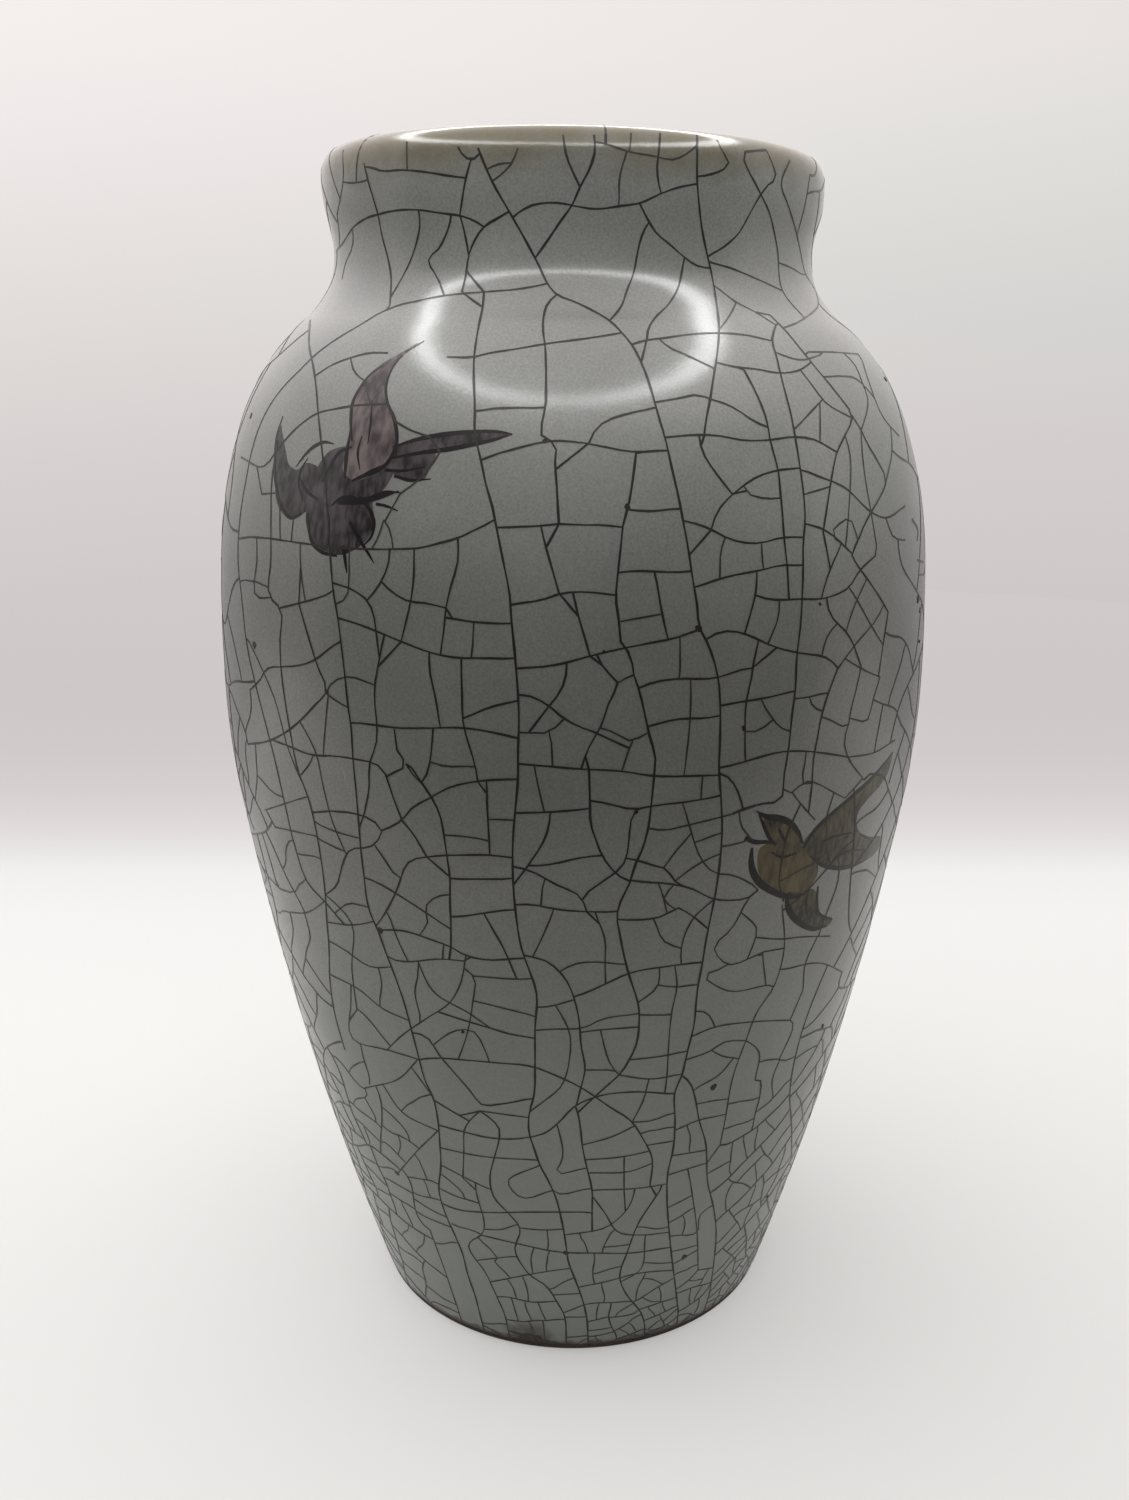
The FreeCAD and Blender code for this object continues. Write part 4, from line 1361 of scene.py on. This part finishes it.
OCHRE_INK = [
    ([(756, 811), (765, 816), (778, 818), (790, 823), (798, 832), (803, 844)], (1, 5, 7, 6, 5, 2)),
    ([(759, 814), (764, 826), (770, 839), (776, 845)], (2, 4, 4, 2)),
    ([(745, 838), (755, 842), (765, 842), (776, 843)], (5, 5, 4, 2)),
    ([(752, 848), (751, 860), (753, 872), (760, 883), (772, 891), (785, 896), (798, 896), (806, 893)],
     (3, 6, 8, 8, 7, 6, 4, 2)),
    ([(779, 829), (782, 836), (786, 843)], (2, 4, 1)),
    ([(803, 848), (815, 830), (828, 817), (842, 805), (858, 791), (872, 778), (884, 764), (893, 752)],
     (3, 5, 5, 4, 5, 4, 3, 1)),
    ([(810, 856), (820, 864), (838, 868), (852, 866), (864, 861)], (1, 4, 5, 4, 1)),
    ([(823, 842), (836, 836), (852, 833)], (2, 3, 1)),
    ([(838, 856), (850, 851), (866, 850)], (2, 3, 1)),
    ([(860, 834), (868, 838), (880, 837)], (2, 3, 1)),
    ([(786, 896), (788, 908), (794, 918), (803, 925), (813, 929), (826, 926)], (3, 7, 7, 6, 5, 2)),
    ([(809, 890), (806, 902), (807, 916)], (2, 3, 1)),
    ([(818, 886), (817, 900), (819, 914), (832, 919)], (2, 4, 4, 2)),
    ([(770, 852), (782, 857), (797, 853)], (1, 3, 1)),
]

# Where the glaze crawled back from the foot and left the clay bare
BARE_CLAY = [
    [(511, 1344), (513, 1340), (518, 1338), (522, 1334), (529, 1333), (534, 1335), (541, 1336), (544, 1340),
     (550, 1343), (552, 1347), (540, 1350), (520, 1349)],
]

# Ends of further birds where the wall turns away at the two sides
SIDE_INK = [
    ([(912, 519), (918, 530), (917, 541)], (3, 4, 2)),
    ([(926, 536), (927, 548), (924, 562), (917, 560)], (3, 4, 3, 2)),
    ([(262, 868), (266, 876), (264, 886)], (3, 4, 2)),
    ([(275, 880), (279, 886)], (4, 2)),
]

# Iron specks that boiled up through the glaze: place and width in pixels
SPECKS = [(699, 629, 9), (627, 507, 7), (744, 728, 6), (380, 930, 8), (713, 1087, 8), (566, 1253, 6),
          (684, 1257, 7), (397, 1173, 6), (636, 812, 5), (327, 692, 5), (545, 441, 6), (604, 652, 4),
          (463, 1032, 4), (820, 604, 4)]


# Pixels between the places of a wash's outline and of a stroke, and the mesh of a patch in mm
WASH_SPACING = 4.0
INK_SPACING = 3.0
PATCH_STEP = 1.0
PATCH_EDGE = 0.5
PATCH_MERGED = 1e-5

# Spacings between the ends of an outline from which places are added to close it
CLOSED_FROM = 1.5


def closed_line(points, spacing):
    """Points a spacing apart round a smooth closed line through the given ones."""
    points = list(points)
    line = smooth_line(points[-3:] + points + points[:3], spacing)
    start, end = np.array(points[0], float), np.array(points[-1], float)
    first = int(np.hypot(*(line[:len(line) // 2] - start).T).argmin())
    last = len(line) // 2 + int(np.hypot(*(line[len(line) // 2:] - end).T).argmin())
    ring = line[first:last + 1]
    if np.hypot(*(start - end)) > CLOSED_FROM * spacing:
        ring = np.concatenate([ring, smooth_line([end, start], spacing)[1:-1]])
    return ring


def wall_patches(name, outlines, material, lift, depth):
    """One piece of closed thin patches that follow the glaze inside outlines of turn and climb."""
    places, faces = [], []
    for number, outline in enumerate(outlines):
        scale = WALL.radius_at(outline[:, 1].mean()) / MM
        ring = outline * scale
        low, high = ring.min(0), ring.max(0)
        across, up = (np.arange(start, stop, PATCH_STEP) for start, stop in zip(low, high))
        grid = np.stack(np.meshgrid(across, up), axis=-1).reshape(-1, 2)
        gap = np.sqrt(((grid[:, None] - ring[None]) ** 2).sum(2)).min(1)
        points = [Vector(place) for place in np.concatenate([ring, grid[gap > PATCH_EDGE]])]
        found = geometry.delaunay_2d_cdt(points, [], [list(range(len(ring)))], 1, PATCH_MERGED)
        flat = np.array([tuple(place) for place in found[0]]) / scale
        start, size = len(places), len(flat)
        above = lift + number * PATCH_LIFT
        places.extend(WALL.places(*flat.T, above))
        places.extend(WALL.places(*flat.T, -depth))
        borders = set()
        for face in found[2]:
            face = list(face)
            first, second, third = (flat[corner] for corner in face)
            if np.cross(second - first, third - first) < 0:
                face.reverse()
            faces.append([start + corner for corner in face])
            faces.append([start + size + corner for corner in reversed(face)])
            for edge in zip(face, face[1:] + face[:1]):
                borders.add(edge)
        for first, second in sorted(borders):
            if (second, first) not in borders:
                faces.append([start + second, start + first, start + size + first, start + size + second])
    mesh = bpy.data.meshes.new(name)
    mesh.from_pydata(places, [], faces)
    piece = new_object(name, mesh)
    return finish_piece(piece, material)


def ink_strokes(drawn):
    """Brush strokes on the wall from strokes drawn in pixels."""
    strokes = []
    for pixels, widths in drawn:
        line = smooth_line(pixels, INK_SPACING)
        reach = np.r_[0, np.cumsum(np.hypot(*np.diff(np.array(pixels, float), axis=0).T))]
        swell = np.interp(np.linspace(0, reach[-1], len(line)), reach, widths)
        places, pixel = on_wall(line)
        strokes.append((places, swell * pixel, np.zeros(len(line))))
    return strokes


def washes(drawn):
    """Outlines on the wall from outlines drawn in pixels."""
    return [on_wall(closed_line(pixels, WASH_SPACING))[0] for pixels in drawn]


# How the streaks of the brush lie and stretch, and how many streaks wide a pool of enamel is
BRUSH_TURN = (0.5, 0.7, 0.4)
BRUSH_STRETCH = (1, 1, 0.35)
POOL_STREAKS = 5


def enamel(name, dark, light, streak):
    """Overglaze enamel, brushed on and fired: glossy as the glaze, thin in streaks where it shows paler."""
    found = bpy.data.materials.get(name)
    if found:
        return found
    material, tree = new_material(name)
    at = add(tree, "TexCoord", output="Object")
    along = add(tree, "Mapping", {"Vector": at, "Rotation": BRUSH_TURN, "Scale": BRUSH_STRETCH})
    hairs = noise(tree, along, streak, 4.0)
    pools = noise(tree, at, POOL_STREAKS * streak, 2.0)
    both = add(tree, "Math", {0: hairs, 1: pools}, operation="ADD")
    share = add(tree, "MapRange", {"Value": both, "From Min": 0.8, "From Max": 1.2})
    shade = add(tree, "Mix", {0: share, "A": linear(dark), "B": linear(light)}, data_type="RGBA")
    shader = add(tree, "BsdfPrincipled", {"Base Color": shade, "Roughness": 0.22, "IOR": 1.33})
    add(tree, "OutputMaterial", {"Surface": shader})
    return material


class VASE_OT_dark_bird(bpy.types.Operator):
    """Bird in manganese enamel on the left of the shoulder"""
    bl_idname = "vase.dark_bird"
    bl_label = "Dark Bird"

    def execute(self, context):
        thick = enamel("brushed manganese wash", dark="#1f1b1d", light="#4c4648", streak=1.1 * MM)
        thin = enamel("thin manganese wash", dark="#3c3437", light="#6f6564", streak=1.4 * MM)
        ink = enamel("manganese enamel line", dark="#0f0c0d", light="#1b1718", streak=0.9 * MM)
        wall_patches("dark_bird_body", washes(DARK_WASHES), thick, WASH_LIFT, PAINT_DEPTH)
        wall_patches("dark_bird_wing", washes(DARK_WING), thin, WING_LIFT, PAINT_DEPTH)
        wall_ribbons("dark_bird_lines", ink_strokes(DARK_INK), ink, INK_LIFT, PAINT_DEPTH)
        return {"FINISHED"}


class VASE_OT_ochre_bird(bpy.types.Operator):
    """Bird in ochre enamel with dark lines, low on the right"""
    bl_idname = "vase.ochre_bird"
    bl_label = "Ochre Bird"

    def execute(self, context):
        thin = enamel("brushed ochre wash", dark="#453c28", light="#62573b", streak=1.2 * MM)
        thick = enamel("dark ochre wash", dark="#28231a", light="#565038", streak=1.0 * MM)
        ink = enamel("iron enamel line", dark="#100e0b", light="#1e1a14", streak=0.9 * MM)
        wall_patches("ochre_bird_body", washes(OCHRE_BODY), thin, WASH_LIFT, PAINT_DEPTH)
        wall_patches("ochre_bird_wings", washes(OCHRE_WASHES), thick, WASH_LIFT, PAINT_DEPTH)
        wall_ribbons("ochre_bird_lines", ink_strokes(OCHRE_INK), ink, INK_LIFT, PAINT_DEPTH)
        return {"FINISHED"}


class VASE_OT_side_strokes(bpy.types.Operator):
    """Brush strokes that show at the two sides"""
    bl_idname = "vase.side_strokes"
    bl_label = "Side Strokes"

    def execute(self, context):
        ink = enamel("iron enamel line", dark="#100e0b", light="#1e1a14", streak=0.9 * MM)
        wall_ribbons("side_lines", ink_strokes(SIDE_INK), ink, INK_LIFT, PAINT_DEPTH)
        return {"FINISHED"}


# Specks of the other sides: how many, how far round, between which heights, how wide in mm, and how ragged
BACK_SPECKS = 46
BACK_SPECKS_FROM = 0.9
SPECK_HEIGHTS = (0.02, 0.235)
SPECK_WIDTHS = (0.3, 0.8)
SPECK_CORNERS = 12
SPECK_RAGGED = (0.65, 1.15)


class VASE_OT_iron_specks(bpy.types.Operator):
    """Iron specks in the glaze"""
    bl_idname = "vase.iron_specks"
    bl_label = "Iron Specks"

    def execute(self, context):
        dice = random.Random(context.scene.vase_crackle.seed)
        spots = []
        places, pixel = on_wall([(column, row) for column, row, width in SPECKS])
        for (turn, climb), size, (column, row, width) in zip(places, pixel, SPECKS):
            spots.append((turn, climb, width / 2 * size))
        for _ in range(BACK_SPECKS):
            climb = WALL.climb_at(dice.uniform(*SPECK_HEIGHTS))
            turn = dice.uniform(BACK_SPECKS_FROM, 2 * math.pi - BACK_SPECKS_FROM)
            spots.append((turn, climb, dice.uniform(*SPECK_WIDTHS) * MM))
        around = np.linspace(0, 2 * math.pi, SPECK_CORNERS, endpoint=False)
        outlines = []
        for turn, climb, reach in spots:
            ragged = np.array([dice.uniform(*SPECK_RAGGED) for _ in around])
            reaches = (reach * ragged / WALL.radius_at(climb))[:, None]
            outlines.append([turn, climb] + reaches * np.stack([np.cos(around), np.sin(around)], axis=1))
        iron = enamel("iron speck", dark="#1c1714", light="#3a3026", streak=0.5 * MM)
        wall_patches("iron_specks", outlines, iron, WASH_LIFT, PAINT_DEPTH)
        return {"FINISHED"}


class VASE_OT_bare_clay(bpy.types.Operator):
    """Bare clay where the glaze crawled back from the foot"""
    bl_idname = "vase.bare_clay"
    bl_label = "Bare Clay"

    def execute(self, context):
        clay = earthy("bare clay at the foot", dark="#2c2520", light="#4b4037", grit=0.7 * MM, roughness=0.75)
        wall_patches("bare_foot_patch", washes(BARE_CLAY), clay, WASH_LIFT, PAINT_DEPTH)
        return {"FINISHED"}


# Share of the wall's height above which it isn't dim in reflections, in front of the vase either
CLEARING = 0.58

# Distances behind the vase between which the floor turns to the wall's painted shade, and it is lit less and
# less by the lamps
FLOOR_SHADE_FROM = 0.2
FLOOR_SHADE_TO = 0.9
OWN_FROM = 0.12
OWN_TO = 0.26
OWN_LEAST = 0.42
FLOOR_SHADES = [(0.0, "#f4f3f1"), (1.0, "#d0caca"), (0.065, "#f1f0ee"), (0.10, "#e8e6e4"), (0.14, "#e1dbdb"),
                (0.18, "#dbd5d5"), (0.223, "#d6d0d0"), (0.33, "#d0caca"), (0.49, "#cec8c8")]

# Painted shade of the wall, darker low and on the right, from its foot up to a height, at its left and right,
# and where these are reached
SHADES_TO = 0.5
SIDES_AT = 0.5
LEFT_SHADES = [(0.0, "#d0caca"), (1.0, "#f7f1f1"), (0.24, "#d7d1d1"), (0.5, "#e3dedb"), (0.76, "#f0eaea"),
               (0.9, "#f5efee")]
RIGHT_SHADES = [(0.0, "#cec8c8"), (1.0, "#e8e2df"), (0.24, "#d3cdcd"), (0.5, "#d5d4d2"), (0.76, "#dfdeda"),
                (0.9, "#e7e2df")]

# Between which heights of a ray, as the sine of its angle, the room brightens overhead, and its colour
OVERHEAD_FROM = 0.66
OVERHEAD_FULL = 0.98
ROOM_SHADE = "#f5efee"

# The ring lamp's middle, how its tube swells round it, and its steps
RING_PLACE = (-4 * MM, -57.9 * MM)
RING_SWELLS = (2.2, 0.9, 2.8, 1.4)
RING_STEPS = 24

# Faces round the stage, and the floor's inner rings
STAGE_SEGMENTS = 96
FLOOR_HALFWAY = 0.5
FLOOR_MIDDLE = 0.1

# Soft lamps: place, aim, width, watts, and the angle in degrees over which they spread
LAMPS = {
    "top_lamp": ((-0.15, 0.05, 1.0), (0, 0, 0.1), 1.2, 8.8, 180),
    "left_lamp": ((-0.75, 0.25, 0.35), (0, 0, 0.12), 0.6, 1.0, 180),
    "right_lamp": ((0.75, 0.25, 0.35), (0, 0, 0.12), 0.6, 1.15, 180),
    "front_lamp": ((0, -0.45, 0.25), (0, 0, 0.08), 0.3, 0.11, 180),
    "neck_lamp": ((0.015, -0.13, 0.25), (0.006, -0.05, 0.242), 0.12, 0.018, 50),
}


def stage_material(name, paint, dimmest):
    """Matte stage paint with a painted glow: the camera sees its own colour, the vase sees it dimmer in front
    and glowing brighter up the wall in reflections.
    """
    sizes = bpy.context.scene.vase_stage
    material, tree = new_material(name)
    at = add(tree, "TexCoord", output="Object")
    shade, own = paint(tree, at)
    back = add(tree, "SeparateXYZ", {"Vector": at}, "Y")
    gloom = add(tree, "MapRange", {"Value": back, "From Min": sizes.gloom_from,
                                   "From Max": sizes.gloom_to, "To Min": dimmest},
                interpolation_type="SMOOTHSTEP")
    seen = add(tree, "LightPath", output="Is Camera Ray")
    dimmed = add(tree, "Math", {0: gloom, 1: seen}, operation="MAXIMUM")
    paled = add(tree, "VectorMath", {0: shade, "Scale": dimmed}, operation="SCALE")
    matte = add(tree, "BsdfDiffuse", {"Color": paled})
    above = add(tree, "SeparateXYZ", {"Vector": at}, "Z")
    # Painted reflection: the stage glows brighter towards the top of the wall for glossy rays
    rise = add(tree, "MapRange", {"Value": above, "From Max": sizes.wall_height,
                                  "To Min": sizes.mirrored_low, "To Max": sizes.mirrored_high})
    clearing = add(tree, "MapRange", {"Value": above, "From Min": sizes.wall_height * CLEARING,
                                      "From Max": sizes.wall_height}, interpolation_type="SMOOTHSTEP")
    cleared = add(tree, "Mix", {0: clearing, "A": gloom, "B": 1.0})
    reflected = add(tree, "Math", {0: cleared, 1: rise}, operation="MULTIPLY")
    bright = add(tree, "Mix", {0: seen, "A": reflected, "B": 1.0})
    glow = add(tree, "Emission", {"Color": shade, "Strength": bright})
    mirrored = add(tree, "LightPath", output="Is Glossy Ray")
    straight = add(tree, "Math", {0: seen, 1: mirrored}, operation="MAXIMUM")
    share = add(tree, "Math", {0: straight, 1: own}, operation="MULTIPLY")
    both = add(tree, "MixShader", {0: share, 1: matte, 2: glow})
    behind = add(tree, "NewGeometry", output="Backfacing")
    clear = add(tree, "BsdfTransparent")
    shader = add(tree, "MixShader", {0: behind, 1: both, 2: clear})
    add(tree, "OutputMaterial", {"Surface": shader})
    return material


def floor_paint(tree, at):
    """White near the vase, turning from a hand's width behind it to the painted grey shade of the wall's
    foot.
    """
    back = add(tree, "SeparateXYZ", {"Vector": at}, "Y")
    share = add(tree, "MapRange", {"Value": back, "From Min": FLOOR_SHADE_FROM, "From Max": FLOOR_SHADE_TO})
    shade = add(tree, "ValToRGB", {"Fac": share}, "Color", stops=FLOOR_SHADES)
    own = add(tree, "MapRange", {"Value": back, "From Min": OWN_FROM, "From Max": OWN_TO,
                                 "To Min": OWN_LEAST})
    return shade, own


def wall_paint(tree, at):
    """Painted shade: grey at the foot, near white on top, the left paler than the right."""
    height = add(tree, "SeparateXYZ", {"Vector": at}, "Z")
    side = add(tree, "SeparateXYZ", {"Vector": at}, "X")
    share = add(tree, "MapRange", {"Value": height, "From Min": 0.0, "From Max": SHADES_TO})
    left = add(tree, "ValToRGB", {"Fac": share}, "Color", stops=LEFT_SHADES)
    right = add(tree, "ValToRGB", {"Fac": share}, "Color", stops=RIGHT_SHADES)
    across = add(tree, "MapRange", {"Value": side, "From Min": -SIDES_AT, "From Max": SIDES_AT})
    return add(tree, "Mix", {0: across, "A": left, "B": right}, data_type="RGBA"), 1.0


def room(sizes):
    """The room above the wall: pale to the camera and bright overhead in reflections."""
    world = bpy.data.worlds.new("pale room")
    world.use_nodes = True
    tree = world.node_tree
    tree.nodes.clear()
    ray = add(tree, "TexCoord", output="Generated")
    rise = add(tree, "SeparateXYZ", {"Vector": ray}, "Z")
    overhead = add(tree, "MapRange", {"Value": rise, "From Min": OVERHEAD_FROM,
                                      "From Max": OVERHEAD_FULL,
                                      "To Min": sizes.mirrored_high, "To Max": sizes.overhead},
                   interpolation_type="SMOOTHSTEP")
    mirrored = add(tree, "LightPath", output="Is Glossy Ray")
    lit = add(tree, "Mix", {0: mirrored, "A": sizes.room_light, "B": overhead})
    seen = add(tree, "LightPath", output="Is Camera Ray")
    strength = add(tree, "Mix", {0: seen, "A": lit, "B": 1.0})
    sky = add(tree, "Background", {"Color": linear(ROOM_SHADE), "Strength": strength})
    add(tree, "OutputWorld", {"Surface": sky})
    return world


def soft_lamp(name, place, target, width, energy, spread):
    """A wide square lamp that lights without being mirrored."""
    lamp = new_object(name, bpy.data.lights.new(name, "AREA"))
    lamp.data.shape = "SQUARE"
    lamp.data.size = width
    lamp.data.energy = energy
    lamp.data.spread = math.radians(spread)
    lamp.location = place
    lamp.rotation_euler = (Vector(target) - Vector(place)).to_track_quat("-Z", "Y").to_euler()
    lamp.visible_camera = lamp.visible_glossy = False


class VASE_OT_stage(bpy.types.Operator):
    """Floor, round wall, lamps and camera"""
    bl_idname = "vase.stage"
    bl_label = "Stage"

    def execute(self, context):
        sizes = context.scene.vase_stage
        rings = [(sizes.radius, 0), (sizes.radius * FLOOR_HALFWAY, 0), (FLOOR_MIDDLE, 0)]
        floor = turned_sheet("floor", rings, STAGE_SEGMENTS, True)
        rings = [(sizes.radius, 0), (sizes.radius, sizes.wall_height)]
        wall = turned_sheet("round_wall", rings, STAGE_SEGMENTS)
        paints = ((floor, floor_paint, sizes.floor_gloom), (wall, wall_paint, sizes.wall_gloom))
        for sheet, paint, gloom in paints:
            sheet.data.materials.append(stage_material(sheet.name + " paint", paint, gloom))
            for face in sheet.data.polygons:
                face.use_smooth = True
        if floor.data.polygons[0].normal.z < 0:
            floor.data.flip_normals()
        if wall.data.polygons[0].normal.dot(wall.data.polygons[0].center) > 0:
            wall.data.flip_normals()
        bpy.ops.object.select_all(action="DESELECT")
        bpy.ops.curve.primitive_bezier_circle_add(radius=sizes.ring_radius,
                                                  location=(*RING_PLACE, sizes.ring_height))
        ring = context.object
        ring.name = "ring_lamp"
        ring.data.bevel_depth = sizes.ring_tube
        ring.data.resolution_u = RING_STEPS
        for knot, swell in zip(ring.data.splines[0].bezier_points, RING_SWELLS):
            knot.radius = swell
        glow, tree = new_material("ring lamp tube")
        shader = add(tree, "Emission", {"Color": (1.0, 1.0, 1.0), "Strength": sizes.ring_light})
        add(tree, "OutputMaterial", {"Surface": shader})
        ring.data.materials.append(glow)
        ring.visible_camera = ring.visible_diffuse = ring.visible_shadow = False
        for name, lamp in LAMPS.items():
            soft_lamp(name, *lamp)
        context.scene.world = room(sizes)
        camera = new_object("camera", bpy.data.cameras.new("camera"))
        camera.location = (0, -sizes.camera_distance, sizes.camera_height)
        camera.rotation_euler = (math.pi / 2 - sizes.camera_pitch, 0, 0)
        camera.data.lens = sizes.focal_length
        camera.data.sensor_width = SENSOR
        camera.data.shift_x = (PICTURE_WIDTH / 2 - AXIS_COLUMN) / PICTURE_HEIGHT
        context.scene.camera = camera
        context.scene.view_settings.view_transform = "Standard"
        return {"FINISHED"}


class VASE_PT_pieces(bpy.types.Panel):
    """Sizes and pieces of the vase"""
    bl_idname = "VASE_PT_pieces"
    bl_label = "Crackle Glaze Vase"
    bl_space_type = "VIEW_3D"
    bl_region_type = "UI"
    bl_category = "Vase"

    def draw(self, context):
        for group in (context.scene.vase_glaze, context.scene.vase_crackle, context.scene.vase_stage):
            box = self.layout.box()
            for name in group.__annotations__:
                box.prop(group, name)
        for operator in OPERATORS:
            self.layout.operator(operator.bl_idname)


OPERATORS = (
    VASE_OT_stage,
    VASE_OT_outer_glaze,
    VASE_OT_inner_glaze,
    VASE_OT_neck_clay,
    VASE_OT_fired_clay,
    VASE_OT_foot_band,
    VASE_OT_dark_bird,
    VASE_OT_ochre_bird,
    VASE_OT_side_strokes,
    VASE_OT_iron_specks,
    VASE_OT_bare_clay,
    VASE_OT_crackle,
)
GROUPS = {"vase_glaze": GlazeSizes, "vase_crackle": CrackleSizes, "vase_stage": StageSizes}


def register():
    for name, group in GROUPS.items():
        bpy.utils.register_class(group)
        setattr(bpy.types.Scene, name, PointerProperty(type=group))
    for operator in OPERATORS:
        bpy.utils.register_class(operator)
    bpy.utils.register_class(VASE_PT_pieces)


def unregister():
    bpy.utils.unregister_class(VASE_PT_pieces)
    for operator in reversed(OPERATORS):
        bpy.utils.unregister_class(operator)
    for name, group in GROUPS.items():
        delattr(bpy.types.Scene, name)
        bpy.utils.unregister_class(group)


def main():
    """Makes every piece in turn."""
    register()
    for operator in OPERATORS:
        family, name = operator.bl_idname.split(".")
        getattr(getattr(bpy.ops, family), name)()


if __name__ == "__main__":
    main()
